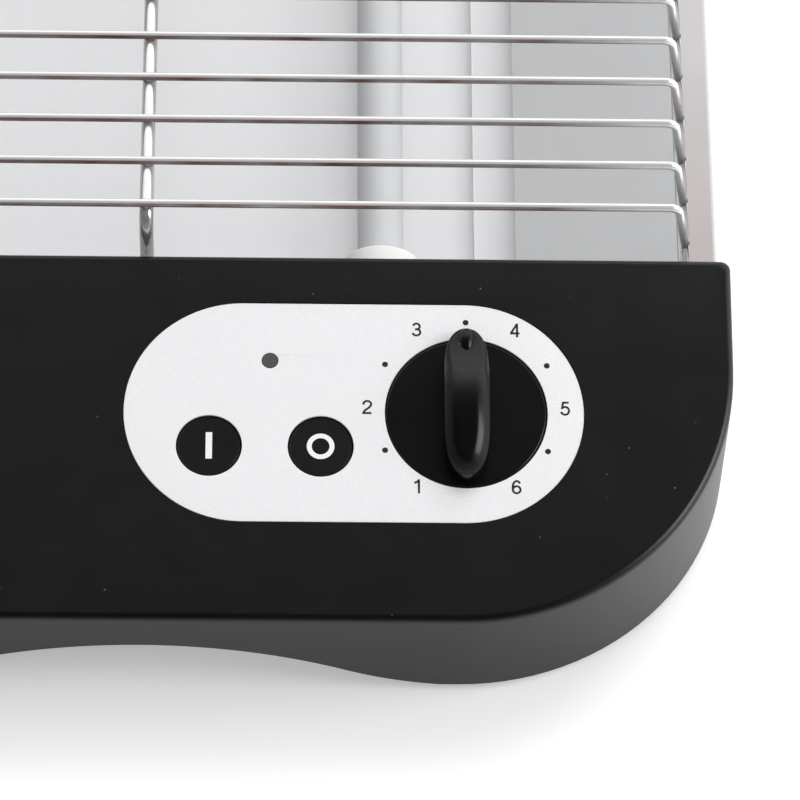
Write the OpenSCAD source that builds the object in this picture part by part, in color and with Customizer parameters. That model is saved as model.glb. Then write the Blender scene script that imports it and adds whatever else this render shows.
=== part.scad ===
// Flatbed toaster: a wire rack stands over two quartz tubes in a low steel trough.
// A moulded control housing closes the near end and a plain one closes the far end.
// X runs across the toaster, Y along it away from the control end, Z up from the table.

/* [Overall] */
// Width over the two moulded end housings
body_w = 250; // [236:1:270]
// Length over both end housings
overall_l = 388; // [366:1:420]
// Height of the rubber feet under the housings
foot_h = 2.5; // [2:0.1:4]
// Gap kept between pieces that do not touch
clearance = 0.3; // [0.2:0.05:0.4]

/* [End housings] */
// Depth of the control housing along Y
control_depth = 83; // [80:0.5:92]
// Depth of the far housing along Y
rear_depth = 50; // [46:0.5:60]
// Fall of the housing tops towards the ends, in degrees
top_tilt = 8; // [6:0.5:10]
// Height of the control housing's front wall
front_wall_h = 27; // [25:0.5:32]
// Plan radius of the control housing's two front corners
control_corner_r = 58; // [50:1:64]
// Plan radius of the far housing's two outer corners
rear_corner_r = 42; // [34:1:44]
// Plan radius where the housings meet the steel
inner_corner_r = 2; // [1:0.1:3]
// Rounding of the edge round the housing tops
top_round = 1.5; // [1:0.1:2]
// Wall of the moulded housings
shell_t = 2.2; // [1.8:0.1:2.4]
// Rise of the arch in each end wall
arch_rise = 16; // [14:0.5:18]
// Radius of the arch's crown
arch_top_r = 97; // [80:1:105]
// Distance from the middle to the lowest point beside the arch
arch_foot_x = 70; // [66:0.5:74]
// Depth of the finger pocket behind each arch
pocket_depth = 26; // [22:0.5:28]
// Thickness of the moulded base covers
base_t = 2; // [1.6:0.1:2.4]
// How far the base covers lie above the housings' lower edges
base_lift = 0.4; // [0.2:0.1:0.8]

/* [Control panel] */
// Length of the silver panel
panel_l = 97.2; // [92:0.1:100]
// Height of the silver panel, twice its end radius
panel_w = 50.3; // [48:0.1:52]
// Thickness of the silver panel
panel_t = 0.6; // [0.4:0.1:0.8]
// How far the panel's face lies below the housing's top
panel_sink = 0.2; // [0.1:0.05:0.3]
// Distance of the panel's centre to the right of the middle
panel_x = 44.4; // [42:0.1:48]
// Distance of the panel's centre from the housing's inner edge, down the slope
panel_back = 36.5; // [34:0.1:38]

/* [Timer knob] */
// Distance of the timer from the panel's right end
knob_set = 24.9; // [24.5:0.1:25.3]
// Radius of the knob's disc
knob_r = 16.9; // [16:0.1:18]
// Height of the knob's disc
knob_disc_h = 0.9; // [0.8:0.05:1.1]
// How far the disc's underside lies below the housing's top
knob_sink = 1.1; // [1:0.05:1.2]
// Gap round the disc in the panel's hole
knob_ring = 0.3; // [0.25:0.05:0.4]
// Height of the grip bar above the disc
grip_h = 8; // [7:0.1:9]
// Half width of the grip bar at the disc
grip_half = 4.85; // [4.6:0.05:5]
// Half width of the grip bar's top
grip_top_half = 2.8; // [2.6:0.1:3.4]
// Reach of the grip bar's pointer end from the axis
grip_nose = 18.4; // [17.8:0.1:18.6]
// Reach of the grip bar's tail from the axis
grip_tail = 15.8; // [15:0.1:16]
// Height of the pointer end above the disc, under the scoop
nose_h = 4.1; // [3.5:0.1:5]
// Radius of the timer shaft
shaft_r = 3; // [2.5:0.1:3.2]
// Radial play of the turning shaft and the switch plungers
running_play = 0.05; // [0.03:0.01:0.08]

/* [Buttons and lamp] */
// Radius of the start and stop buttons
button_r = 6.7; // [6.2:0.1:7]
// How far the buttons' faces lie below the housing's top
button_sink = 0.3; // [0.2:0.1:0.6]
// Travel of the buttons
button_travel = 1; // [0.6:0.1:1.2]
// Distance of the start button from the panel's left end
start_set = 18.1; // [17.5:0.1:19]
// Distance from the start button to the stop button
button_pitch = 23.5; // [22.5:0.1:24.5]
// Both buttons' place up the panel from its centre
button_v = -7.9; // [-9:0.1:-6]
// Lamp's place along the panel from the start button
lamp_set = 12.7; // [11:0.1:14]
// Lamp's place up the panel from its centre
lamp_v = 11.8; // [10:0.1:13]
// Radius of the lamp's lens
lamp_r = 1.68; // [1.5:0.02:2]

/* [Control board] */
// Depth of the board's upper face below the housing's top
board_depth = 12; // [11.5:0.1:13]
// Reach of the board past the start button
board_past_start = 11.5; // [11.3:0.1:12.5]
// Reach of the board past the timer
board_past_timer = 20; // [18:0.5:21]
// Height of the board up the slope
board_w = 38; // [37.5:0.5:39]
// Thickness of the board
board_t = 1.6; // [1:0.1:2]

/* [Steel trough] */
// Thickness of the side panels, bottom and end plates
steel_t = 0.7; // [0.5:0.05:0.8]
// Width of the flat rim along each side
rim_w = 7.2; // [7:0.1:7.5]
// Depth of the lip that hangs from the rim's inner edge
lip_h = 7; // [6:0.1:8]
// Height of the trough's underside above the housings' lower edges
trough_lift = 4; // [3.5:0.1:4.5]
// Length of the trough hidden inside each housing
trough_overlap = 8; // [7:0.1:9]
// Set-back of the end plates inside each housing
end_plate_set = 1.9; // [1.5:0.1:2.5]
// Distance from the housings' sides to the foot of the sloping reflectors
reflector_set = 44.5; // [42:0.5:47]
// Height of the reflectors' foot above the bottom plate
reflector_rise = 6.5; // [6:0.1:8]

/* [Crumb tray] */
// Height of the tray's edges
tray_h = 4.3; // [4.1:0.1:4.6]
// Sheet thickness of the tray
tray_t = 0.6; // [0.4:0.05:0.7]
// Distance from the reflectors' foot to the tray's far edge
tray_gap = 8.5; // [7:0.5:12]
// Set-back of the tray's ends from the housings
tray_set = 15.5; // [14:0.5:18]

/* [Heating tubes] */
// Distance of the tubes from the middle
tube_x = 50.5; // [47:0.5:54]
// Height of the tubes' axis above the trough's underside
tube_rise = 14.5; // [14:0.1:16]
// Outer radius of the quartz tubes
tube_r = 5; // [4.6:0.1:5.2]
// Wall of the quartz tubes
tube_wall = 1; // [0.8:0.1:1.2]
// Outer radius of the ceramic end caps
cap_r = 9; // [8.4:0.1:9.4]
// Reach of the ceramic end caps out of each housing
cap_reach = 9; // [8:0.1:10]
// Depth of the tubes' seat in the ceramic end caps
cap_seat = 7; // [6:0.1:8]
// Turns of each heating coil
coil_turns = 24; // [12:1:24]
// Mean radius of the heating coils
coil_r = 2.8; // [2.4:0.1:3]
// Radius of the resistance wire
coil_wire_r = 0.45; // [0.35:0.05:0.5]

/* [Rack] */
// Radius of the rack's cross wires
wire_r = 0.9; // [0.8:0.05:1]
// Spacing of the cross wires
wire_pitch = 11; // [10:0.05:12]
// Height of the cross wires' axis above the rim
rack_rise = 13.3; // [12:0.1:15]
// Distance from the housings' sides to the end of a cross wire's straight top
wire_set = 14.7; // [14.5:0.1:15]
// Radius of the bends in a cross wire
wire_bend = 3; // [2.5:0.1:4]
// Outward lean of a cross wire's legs, in degrees
wire_lean = 12; // [10:0.5:14]
// Radius of the middle rod
rod_r = 1.5; // [1.4:0.05:1.6]
// Radius of the bends at the rod's ends
rod_bend = 4.5; // [4:0.1:5]
// Depth that the welded wires sink into the rod
weld_sink = 0.15; // [0.1:0.05:0.2]

/* [Feet and screws] */
// Radius of the rubber feet
foot_r = 8; // [6:0.1:9]
// Radius of the feet's stems
foot_stem_r = 3; // [2.5:0.1:3.5]
// Shank radius of the small screws
screw_r = 1.4; // [1.2:0.05:1.5]
// Head radius of the small screws
screw_head_r = 2.8; // [2.5:0.1:3]
// Head height of the small screws
screw_head_h = 1.6; // [1.4:0.1:1.8]
// Radius of the screw bosses
boss_r = 3.4; // [3:0.1:4]

/* [Cord inlet] */
// Radius of the gland's cord bore
gland_bore_r = 3.5; // [3:0.1:4]
// Outer radius of the gland's sleeve
gland_r = 5.5; // [5:0.1:6]
// Length of the gland's bore
gland_l = 12; // [10:0.5:14]
// Distance of the gland from the control housing's inner edge
gland_y = 17; // [16.5:0.1:17.5]
// Height of the gland's axis above the housing's lower edge
gland_z = 15; // [13:0.5:18]

/* [Hidden] */

$fn = 64;
corner_fn = 112;
round_steps = 5;
over = 1;

// Ends of the two housings along Y
front_y = -overall_l / 2;
rear_y = overall_l / 2;
control_edge_y = front_y + control_depth;
rear_edge_y = rear_y - rear_depth;

// Heights set by the control housing's front wall and the fall of its top
edge_z = foot_h + front_wall_h + control_depth * tan(top_tilt);
plate_drop = shell_t / cos(top_tilt);
base_z = foot_h + base_lift;
base_top = base_z + base_t;
trough_z = foot_h + trough_lift;
floor_z = trough_z + 2 * steel_t;
rim_z = edge_z - plate_drop - trough_overlap * tan(top_tilt) - clearance;
tube_z = trough_z + tube_rise;

// Arch made of a crown arc and two foot arcs that meet it without a kink, just below the lower edge
arch_dip = 0.4;
arch_span_r = (arch_foot_x * arch_foot_x + (arch_rise + arch_dip) * (arch_rise + arch_dip))
    / (2 * (arch_rise + arch_dip));
arch_foot_r = arch_span_r - arch_top_r;
arch_turn = asin(arch_foot_x / arch_span_r);
arch_steps = 14;

// Steel trough inside the housing walls
panel_outer_x = body_w / 2 - shell_t - clearance;
lip_x = panel_outer_x - rim_w;
trough_front = control_edge_y - trough_overlap;
trough_rear = rear_edge_y + trough_overlap;
bend_r = 2 * steel_t;
front_plate_y = control_edge_y - end_plate_set;
rear_plate_y = rear_edge_y + end_plate_set;
end_plate_half = lip_x - clearance;
plate_fall = (end_plate_set + steel_t) * tan(top_tilt);
end_plate_top = edge_z - plate_drop - plate_fall - clearance;

// Reflectors between the lip and the tray
reflector_x = body_w / 2 - reflector_set;
tab_h = lip_h / 2 - 2 * clearance;
tab_x = lip_x - steel_t;
slope_low_z = floor_z + reflector_rise;
slope_top_z = rim_z - lip_h;

// Crumb tray above the bottom plate
tray_x = reflector_x - tray_gap;
tray_z = floor_z + clearance;
tray_front = control_edge_y + tray_set;
tray_rear = rear_edge_y - tray_set;
pull_x = panel_outer_x + clearance;
pull_over = 2;
pull_hem_r = 0.9;
hem_z = tray_z + tray_h + 1.3 * clearance;

// Rack wires and middle rod
wire_z = rim_z + rack_rise;
exposed_l = rear_edge_y - control_edge_y;
wire_margin = 5;
wire_half = body_w / 2 - wire_set;
wire_count = floor((exposed_l - 2 * wire_margin) / wire_pitch) + 1;
first_wire_y = (control_edge_y + rear_edge_y) / 2 - (wire_count - 1) * wire_pitch / 2;
leg_x = wire_half + wire_bend * cos(wire_lean);
leg_z = wire_z - wire_bend + wire_bend * sin(wire_lean);
leg_end_z = rim_z - lip_h / 2;
wire_hole_r = wire_r + 0.2;
rod_z = wire_z - wire_r - rod_r + weld_sink;
rod_leg_set = 3.2;
rod_stub_z = rim_z - lip_h / 2 - rod_r;
rod_stub_l = rod_leg_set + trough_overlap;
rod_hole_r = rod_r + 0.2;

// Seats of the tubes in their ceramic caps
cap_end_front = control_edge_y + cap_reach;
cap_end_rear = rear_edge_y - cap_reach;
cap_flange_l = cap_reach + end_plate_set;
cap_neck_r = tube_r + 2;
cap_tail_l = 5;
cap_tail_end = cap_flange_l + steel_t + cap_tail_l;
seat_play = 0.1;
pin_r = 1.2;
pin_disc_r = tube_r - tube_wall - 0.3;
pin_disc_t = 0.8;
spade_l = 8;
spade_w = 6.3;
spade_t = 0.8;
tube_front = cap_end_front - cap_seat;
tube_rear = cap_end_rear + cap_seat;

// Places of the controls in the panel's own plane
panel_y = control_edge_y - panel_back * cos(top_tilt);
panel_z = edge_z - panel_back * sin(top_tilt);
knob_u = panel_l / 2 - knob_set;
start_u = start_set - panel_l / 2;
stop_u = start_u + button_pitch;
lamp_u = start_u + lamp_set;
recess = panel_t + panel_sink;
recess_gap = 0.15;
button_gap = 0.25;
button_flange = 1;
button_flange_h = 1.2;
switch_side = 6;
switch_h = 4.2;
switch_bore_h = switch_h - 0.8;
plunger_r = 1.75;
plunger_foot = board_depth - switch_h + switch_bore_h - button_travel - clearance;
stem_r = 2.2;
stem_end = board_depth - switch_h - button_travel - clearance;
board_l = knob_u - start_u + board_past_start + board_past_timer;
board_mid_u = (knob_u + start_u + board_past_timer - board_past_start) / 2;
board_mid_v = 0;
relay_u = 14;
relay_v = -4;
relay_size = [19, 15, 11];
capacitor_u = -8;
capacitor_v = -9;
capacitor_size = [17, 7, 11];
board_hole_set = 3;
board_under = board_depth + board_t;
pot_side = 15;
pot_h = 6;
bushing_r = 3.6;
disc_top = knob_disc_h - knob_sink;
shaft_top = disc_top + 3;
shaft_foot = board_depth - 0.8;
knob_grip_play = 0.02;
led_r = 1.5;
led_h = 5.6;
lens_flange = 0.8;

// Screw and foot places, measured from a housing's inner edge
side_boss_x = body_w / 2 - 21;
control_screws = [[side_boss_x, -20], [body_w / 2 - 43, -64]];
rear_screws = [[side_boss_x, -16], [body_w / 2 - 55, -37]];
control_foot = [body_w / 2 - 35, -45];
rear_foot = [body_w / 2 - 33, -27];
body_screw = [panel_outer_x - rim_w / 2, -(trough_overlap + end_plate_set) / 2];
foot_stem_h = 4;
screw_l = 9;
screw_play = 0.15;

function reversed(v) = [for (i = [len(v) - 1 : -1 : 0]) v[i]];

// Sweep of round wires along points: each ring's first side is carried along the path
function unit(v) = v / norm(v);
function tangent(p, i) = unit(p[min(i + 1, len(p) - 1)] - p[max(i - 1, 0)]);
function carry(n, t) = unit(n - (n * t) * t);
function sides_along(p, first) = [for (i = 0, n = carry(first, tangent(p, 0)); i < len(p);
    i = i + 1, n = i < len(p) ? carry(n, tangent(p, i)) : n) n];
function wire_rings(p, r, sides, first) = let (n = sides_along(p, first))
    [for (i = [0 : len(p) - 1]) let (b = cross(tangent(p, i), n[i]))
        for (k = [0 : sides - 1]) let (a = 360 * k / sides) p[i] + r * (cos(a) * n[i] + sin(a) * b)];
function wire_faces(count, sides, base) = let (last = base + (count - 1) * sides) concat(
    [for (i = [0 : count - 2], k = [0 : sides - 1]) let (m = (k + 1) % sides, q = base + i * sides)
        each [[q + k, q + sides + k, q + sides + m], [q + k, q + sides + m, q + m]]],
    [for (k = [1 : sides - 2]) [base, base + k, base + k + 1]],
    [for (k = [1 : sides - 2]) [last, last + k + 1, last + k]]);

// Separate round wires of radius r along paths with equal numbers of points
module swept_wires(paths, r, sides, first) {
    size = len(paths[0]);
    polyhedron([for (p = paths) each wire_rings(p, r, sides, first)],
        [for (j = [0 : len(paths) - 1]) each wire_faces(size, sides, j * size * sides)]);
}

// Places a piece in the panel's plane, u along it, v up it, with Z out of the housing's top
module on_panel(u = 0, v = 0) {
    translate([panel_x, panel_y, panel_z]) rotate([top_tilt, 0, 0]) translate([u, v, 0]) children();
}

// World place of a point in the panel's plane at the given depth below the top
function panel_point(u, v, depth) = [panel_x + u,
    panel_y + v * cos(top_tilt) + depth * sin(top_tilt),
    panel_z + v * sin(top_tilt) - depth * cos(top_tilt)];

// Places a housing whose inner edge lies on Y = 0 at the control end or, mirrored, at the far end
module at_control() {
    translate([0, control_edge_y, 0]) children();
}

module at_rear() {
    translate([0, rear_edge_y, 0]) mirror([0, 1, 0]) children();
}

// Plan outline of a housing, drawn in by inset, reaching back to the line Y = back
module plan(depth, corner_r, inset, back) {
    half = body_w / 2 - inset;
    r = corner_r - inset;
    front = inset - depth;
    small = inner_corner_r;
    translate([r - half, front]) square([2 * (half - r), back - small - front]);
    translate([-half, front + r]) square([2 * half, back - small - front - r]);
    translate([small - half, back - 2 * small]) square([2 * (half - small), 2 * small]);
    for (s = [-1, 1]) {
        intersection() {
            translate([s * (half - r), front + r]) circle(r, $fn = corner_fn);
            translate([-half - over, front - over]) square([2 * half + 2 * over, r + over]);
        }
        translate([s * (half - small), back - small]) circle(small, $fn = 32);
    }
}

// Everything under a plane parallel to the sloping top and the given depth below it
module below_top(depth) {
    translate([0, 0, edge_z - depth / cos(top_tilt)]) rotate([top_tilt, 0, 0])
        translate([-body_w, -body_w, -body_w]) cube([2 * body_w, 2 * body_w, body_w]);
}

// Outer form of a housing, with the rounded edge round its top
module housing_form(depth, corner_r) {
    hull() for (i = [0 : round_steps]) {
        a = 90 * i / round_steps;
        inset = top_round * (1 - cos(a));
        intersection() {
            translate([0, 0, foot_h]) linear_extrude(edge_z) plan(depth, corner_r, inset, -inset);
            below_top(top_round * (1 - sin(a)));
        }
    }
}

// Right half of the arch's curve in X and Z, from the crown to the foot, raised by grow
function arch_half(grow) = concat(
    [for (i = [1 : arch_steps]) let (a = arch_turn * i / arch_steps, r = arch_top_r + grow)
        [r * sin(a), arch_rise - arch_top_r + r * cos(a)]],
    [for (i = [arch_steps - 1 : -1 : 0]) let (a = arch_turn * i / arch_steps, r = arch_foot_r - grow)
        [arch_foot_x - r * sin(a), arch_foot_r - arch_dip - r * cos(a)]]);

// Section under the arch, with the arch raised by grow
module under_arch(grow) {
    right = arch_half(grow);
    polygon(concat([for (q = reversed(right)) [-q[0], q[1]]], [[0, arch_rise + grow]], right,
        [[arch_foot_x, -over], [-arch_foot_x, -over]]));
}

// Arch section run along Y from one place to another
module arch_run(grow, from, to) {
    translate([0, to, foot_h]) rotate([90, 0, 0]) linear_extrude(to - from) under_arch(grow);
}

// Hollow housing with its arch, open underneath and towards the steel
module housing_shell(depth, corner_r) {
    difference() {
        housing_form(depth, corner_r);
        intersection() {
            translate([0, 0, foot_h - over]) linear_extrude(edge_z)
                plan(depth, corner_r, shell_t, inner_corner_r + over);
            below_top(shell_t);
        }
        arch_run(0, -depth - over, shell_t + over - depth);
    }
}

// Screw boss that hangs from a housing's top down to its base cover
module top_boss(place) {
    fall = (place[1] - boss_r) * tan(top_tilt);
    translate([place[0], place[1], base_top])
        cylinder(r = boss_r, h = edge_z + fall - shell_t / 2 - base_top);
}

// Pilot bore of a screw boss
module boss_bore(place) {
    translate([place[0], place[1], base_top - over])
        cylinder(r = screw_r + screw_play, h = screw_l + over);
}

// The same feature on the right and on the left
module both_sides(places) {
    for (p = places, s = [-1, 1]) {
        $side = [s * p[0], p[1]];
        children();
    }
}

module screw(length) {
    translate([0, 0, -screw_head_h]) cylinder(r = screw_head_r, h = screw_head_h, $fn = 32);
    translate([0, 0, -over / 2]) cylinder(r = screw_r, h = length + over / 2, $fn = 32);
}

// Moulded cover under a housing, with a hood over the finger pocket behind the arch
module base_cover(depth, corner_r, screws, foot) {
    pocket_end = pocket_depth - depth;
    difference() {
        intersection() {
            translate([0, 0, base_z]) linear_extrude(edge_z)
                plan(depth, corner_r, shell_t + clearance, 0);
            union() {
                translate([-body_w / 2, -depth - over, base_z]) cube([body_w, depth + 2 * over, base_t]);
                arch_run(base_t, -depth - over, pocket_end + base_t);
            }
        }
        arch_run(0, -depth - over, pocket_end);
        both_sides(screws) translate([$side[0], $side[1], 0])
            cylinder(r = screw_r + screw_play, h = edge_z);
        both_sides([foot]) translate([$side[0], $side[1], 0])
            cylinder(r = foot_stem_r + screw_play, h = base_top + over);
        both_sides([body_screw]) translate([$side[0], $side[1], 0])
            cylinder(r = screw_r + screw_play, h = edge_z);
    }
    both_sides([body_screw]) translate([$side[0], $side[1], base_top - base_t / 2]) difference() {
        cylinder(r = rim_w / 2 - clearance, h = trough_z - base_top + base_t / 2);
        translate([0, 0, -over]) cylinder(r = screw_r + screw_play, h = trough_z);
    }
}

// Stadium in the panel's plane, grown by gap
module stadium(gap) {
    r = panel_w / 2;
    square([panel_l - panel_w, panel_w + 2 * gap], center = true);
    for (s = [-1, 1]) translate([s * (panel_l / 2 - r), 0]) circle(r + gap, $fn = 128);
}

// Round holes in the panel's plane for the buttons, the lamp and the timer's shaft
module control_holes(depth, height) {
    for (u = [start_u, stop_u]) on_panel(u, button_v)
        translate([0, 0, -depth]) cylinder(r = button_r + button_gap, h = height);
    on_panel(lamp_u, lamp_v) translate([0, 0, -depth]) cylinder(r = lamp_r + recess_gap / 2, h = height);
    on_panel(knob_u) translate([0, 0, -depth]) cylinder(r = bushing_r + clearance, h = height);
}

// Round well that takes the knob's disc
module knob_well() {
    cylinder(r = knob_r + knob_ring, h = shell_t + over, $fn = 128);
}

// Board places in the panel's plane
board_holes = [for (s = [-1, 1], t = [-1, 1]) [board_mid_u + s * (board_l / 2 - board_hole_set),
    board_mid_v + t * (board_w / 2 - board_hole_set)]];

module control_housing() color([0.10, 0.10, 0.11]) difference() {
    union() {
        at_control() housing_shell(control_depth, control_corner_r);
        at_control() both_sides(control_screws) top_boss($side);
        for (h = board_holes) on_panel(h[0], h[1])
            translate([0, 0, -board_depth]) cylinder(r = boss_r, h = board_depth - shell_t / 2);
    }
    at_control() both_sides(control_screws) boss_bore($side);
    for (h = board_holes) on_panel(h[0], h[1])
        translate([0, 0, -board_depth - over]) cylinder(r = screw_r + screw_play, h = over + 6);
    on_panel() translate([0, 0, -recess]) linear_extrude(recess + over) stadium(recess_gap);
    on_panel(knob_u) translate([0, 0, -knob_sink - clearance]) knob_well();
    control_holes(shell_t + over, shell_t + 2 * over);
    translate([-body_w / 2 - over, control_edge_y - gland_y, foot_h + gland_z]) rotate([0, 90, 0])
        cylinder(r = gland_r + seat_play, h = shell_t + 2 * over);
}

module control_base() color([0.13, 0.13, 0.14]) at_control()
    base_cover(control_depth, control_corner_r, control_screws, control_foot);

module control_panel() color([0.86, 0.86, 0.88]) difference() {
    on_panel() translate([0, 0, -recess]) linear_extrude(panel_t) stadium(0);
    control_holes(recess + over, recess + 2 * over);
    on_panel(knob_u) translate([0, 0, -recess - over]) knob_well();
}

// Plan of the grip bar: two long arcs, widest behind the pointer end, between a rounded nose and tail
module grip_plan() {
    side_r = 90;
    widest_y = 6;
    nose_r = 4.4;
    tail_r = 3.6;
    intersection() {
        translate([grip_half - side_r, widest_y]) circle(side_r, $fn = 180);
        translate([side_r - grip_half, widest_y]) circle(side_r, $fn = 180);
        translate([-grip_half - over, tail_r - grip_tail])
            square([2 * grip_half + 2 * over, grip_nose + grip_tail - nose_r - tail_r]);
    }
    translate([0, grip_nose - nose_r]) circle(nose_r);
    translate([0, tail_r - grip_tail]) circle(tail_r);
}

// Cross section of the grip bar: steep flanks up to a shoulder, then slopes to the narrower top
module grip_section() {
    shoulder_half = grip_half - 0.35;
    shoulder_h = grip_h - 2;
    polygon([[-grip_half, -over], [grip_half, -over], [shoulder_half, shoulder_h], [grip_top_half, grip_h],
        [grip_top_half, grip_h + over], [-grip_top_half, grip_h + over], [-grip_top_half, grip_h],
        [-shoulder_half, shoulder_h]]);
}

// Side view of the grip bar: crowned along its length, with a hollow scoop behind the pointer end
module grip_side() {
    crown_r = 46;
    scoop_r = 10;
    scoop_set = 2.4;
    difference() {
        intersection() {
            translate([-grip_tail - over, -over])
                square([grip_tail + grip_nose + 2 * over, grip_h + 2 * over]);
            translate([0, grip_h - crown_r]) circle(crown_r, $fn = 180);
        }
        translate([grip_nose - scoop_set, nose_h + scoop_r]) circle(scoop_r, $fn = 128);
    }
}

module timer_knob() color([0.08, 0.08, 0.09]) on_panel(knob_u) difference() {
    chamfer = 0.35;
    root = 0.2;
    nose_foot = clearance - panel_sink;
    pip_half_w = 1.4;
    pip_half_l = 2.6;
    pip_y = grip_nose - pip_half_l - 0.6;
    pip_z = disc_top + nose_h + 0.1;
    pip_r = (pip_half_l * pip_half_l + pip_half_w * pip_half_w) / (2 * pip_half_w);
    union() {
        rotate_extrude($fn = 128) polygon([[0, -knob_sink], [knob_r, -knob_sink],
            [knob_r, disc_top - chamfer], [knob_r - chamfer, disc_top], [0, disc_top]]);
        intersection() {
            translate([0, 0, nose_foot]) linear_extrude(grip_h + 2 * over) grip_plan();
            translate([0, grip_nose + over, disc_top]) rotate([90, 0, 0])
                linear_extrude(grip_nose + grip_tail + 2 * over) grip_section();
            translate([-grip_half - over, 0, disc_top]) rotate([90, 0, 90])
                linear_extrude(2 * grip_half + 2 * over) grip_side();
        }
        translate([0, 0, disc_top - root]) intersection() {
            linear_extrude(nose_foot - disc_top + 2 * root) grip_plan();
            cylinder(r = knob_r - 2 * chamfer, h = 2 * over, $fn = 128);
        }
        translate([0, pip_y, pip_z]) rotate([90, 0, 0]) rotate_extrude() intersection() {
            translate([pip_half_w - pip_r, 0]) circle(pip_r, $fn = 96);
            translate([0, -pip_half_l]) square([pip_half_w, 2 * pip_half_l]);
        }
    }
    translate([0, 0, -knob_sink - over])
        cylinder(r = shaft_r + knob_grip_play, h = shaft_top + knob_sink + over);
}

module timer_shaft() color([0.75, 0.75, 0.77]) on_panel(knob_u) {
    translate([0, 0, -shaft_foot]) cylinder(r = shaft_r, h = shaft_foot + shaft_top - clearance / 2);
}

module timer_potentiometer() color([0.20, 0.28, 0.45]) on_panel(knob_u) difference() {
    union() {
        translate([-pot_side / 2, -pot_side / 2, -board_depth]) cube([pot_side, pot_side, pot_h]);
        translate([0, 0, -board_depth]) cylinder(r = bushing_r, h = board_depth - knob_sink - 2 * clearance);
    }
    translate([0, 0, -shaft_foot - clearance]) cylinder(r = shaft_r + running_play, h = board_depth + over);
}

// Round push button with a retaining flange under the housing's top and a stem to its switch
module push_button(u) {
    ease = 0.4;
    flange_top = shell_t + clearance;
    flange_foot = flange_top + button_flange_h;
    on_panel(u, button_v) rotate_extrude($fn = 96) polygon([[0, -button_sink],
        [button_r - ease, -button_sink], [button_r, -button_sink - ease], [button_r, -flange_top],
        [button_r + button_flange, -flange_top], [button_r + button_flange, -flange_foot],
        [stem_r, -flange_foot], [stem_r, -stem_end], [0, -stem_end]]);
}

module start_button() color([0.07, 0.07, 0.08]) push_button(start_u);

module stop_button() color([0.07, 0.07, 0.08]) push_button(stop_u);

// Plunger that carries a button's stroke into its switch
module switch_plunger(u) {
    on_panel(u, button_v) translate([0, 0, -plunger_foot])
        cylinder(r = plunger_r, h = plunger_foot - stem_end, $fn = 48);
}

module start_plunger() color([0.65, 0.12, 0.10]) switch_plunger(start_u);

module stop_plunger() color([0.65, 0.12, 0.10]) switch_plunger(stop_u);

// Square push switch on the board, with the bore that guides its plunger
module push_switch(u) {
    on_panel(u, button_v) difference() {
        translate([-switch_side / 2, -switch_side / 2, -board_depth])
            cube([switch_side, switch_side, switch_h]);
        translate([0, 0, switch_h - switch_bore_h - board_depth])
            cylinder(r = plunger_r + running_play, h = switch_bore_h + over, $fn = 48);
    }
}

module start_switch() color([0.15, 0.15, 0.16]) push_switch(start_u);

module stop_switch() color([0.15, 0.15, 0.16]) push_switch(stop_u);

module indicator_lens() color([0.34, 0.34, 0.35]) on_panel(lamp_u, lamp_v) {
    foot = board_depth - led_h - clearance;
    translate([0, 0, -foot]) cylinder(r = lamp_r, h = foot - panel_sink / 2, $fn = 48);
    translate([0, 0, -foot]) cylinder(r = lamp_r + lens_flange, h = foot - shell_t, $fn = 48);
}

module indicator_led() color([0.75, 0.15, 0.12]) on_panel(lamp_u, lamp_v) translate([0, 0, -board_depth]) {
    cylinder(r = led_r + 0.3, h = 1, $fn = 48);
    cylinder(r = led_r, h = led_h - led_r, $fn = 48);
    translate([0, 0, led_h - led_r]) sphere(led_r, $fn = 48);
}

module control_board() color([0.10, 0.38, 0.20]) on_panel(board_mid_u, board_mid_v) difference() {
    translate([-board_l / 2, -board_w / 2, -board_under]) cube([board_l, board_w, board_t]);
    for (s = [-1, 1], t = [-1, 1]) translate([s * (board_l / 2 - board_hole_set),
        t * (board_w / 2 - board_hole_set), -board_under - over])
            cylinder(r = screw_r + screw_play, h = board_t + 2 * over, $fn = 32);
}

// Box-shaped part hung under the board
module under_board(u, v, size) {
    on_panel(u, v) translate([-size[0] / 2, -size[1] / 2, -board_under - size[2]]) cube(size);
}

module power_relay() color([0.12, 0.22, 0.50]) under_board(relay_u, relay_v, relay_size);

module suppression_capacitor() color([0.70, 0.55, 0.15]) under_board(capacitor_u, capacitor_v, capacitor_size);

// Places of the two ports in the terminal block's rear face
terminal_u = -22;
terminal_v = 8;
terminal_size = [15, 9, 9];
port_pitch = 6;
port_r = 1.4;

module terminal_block() color([0.20, 0.45, 0.25]) difference() {
    under_board(terminal_u, terminal_v, terminal_size);
    for (s = [-1, 1]) on_panel(terminal_u + s * port_pitch / 2, terminal_v + terminal_size[1] / 2)
        translate([0, over, -board_under - terminal_size[2] / 2]) rotate([90, 0, 0])
            cylinder(r = port_r, h = terminal_size[1] / 2 + over, $fn = 48);
}

module board_screws() color([0.70, 0.70, 0.72]) for (h = board_holes) on_panel(h[0], h[1])
    translate([0, 0, -board_under]) screw(board_t + 5);

module thermal_cutout() color([0.78, 0.76, 0.70]) {
    cutout_r = 7.5;
    cutout_l = 7;
    tag_w = 4;
    tag_l = 5;
    translate([0, front_plate_y - steel_t, tube_z]) rotate([90, 0, 0]) {
        cylinder(r = cutout_r, h = cutout_l);
        for (s = [-1, 1]) translate([s * tag_w - spade_t / 2, -tag_w / 2, cutout_l - over])
            cube([spade_t, tag_w, tag_l + over]);
    }
}

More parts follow.
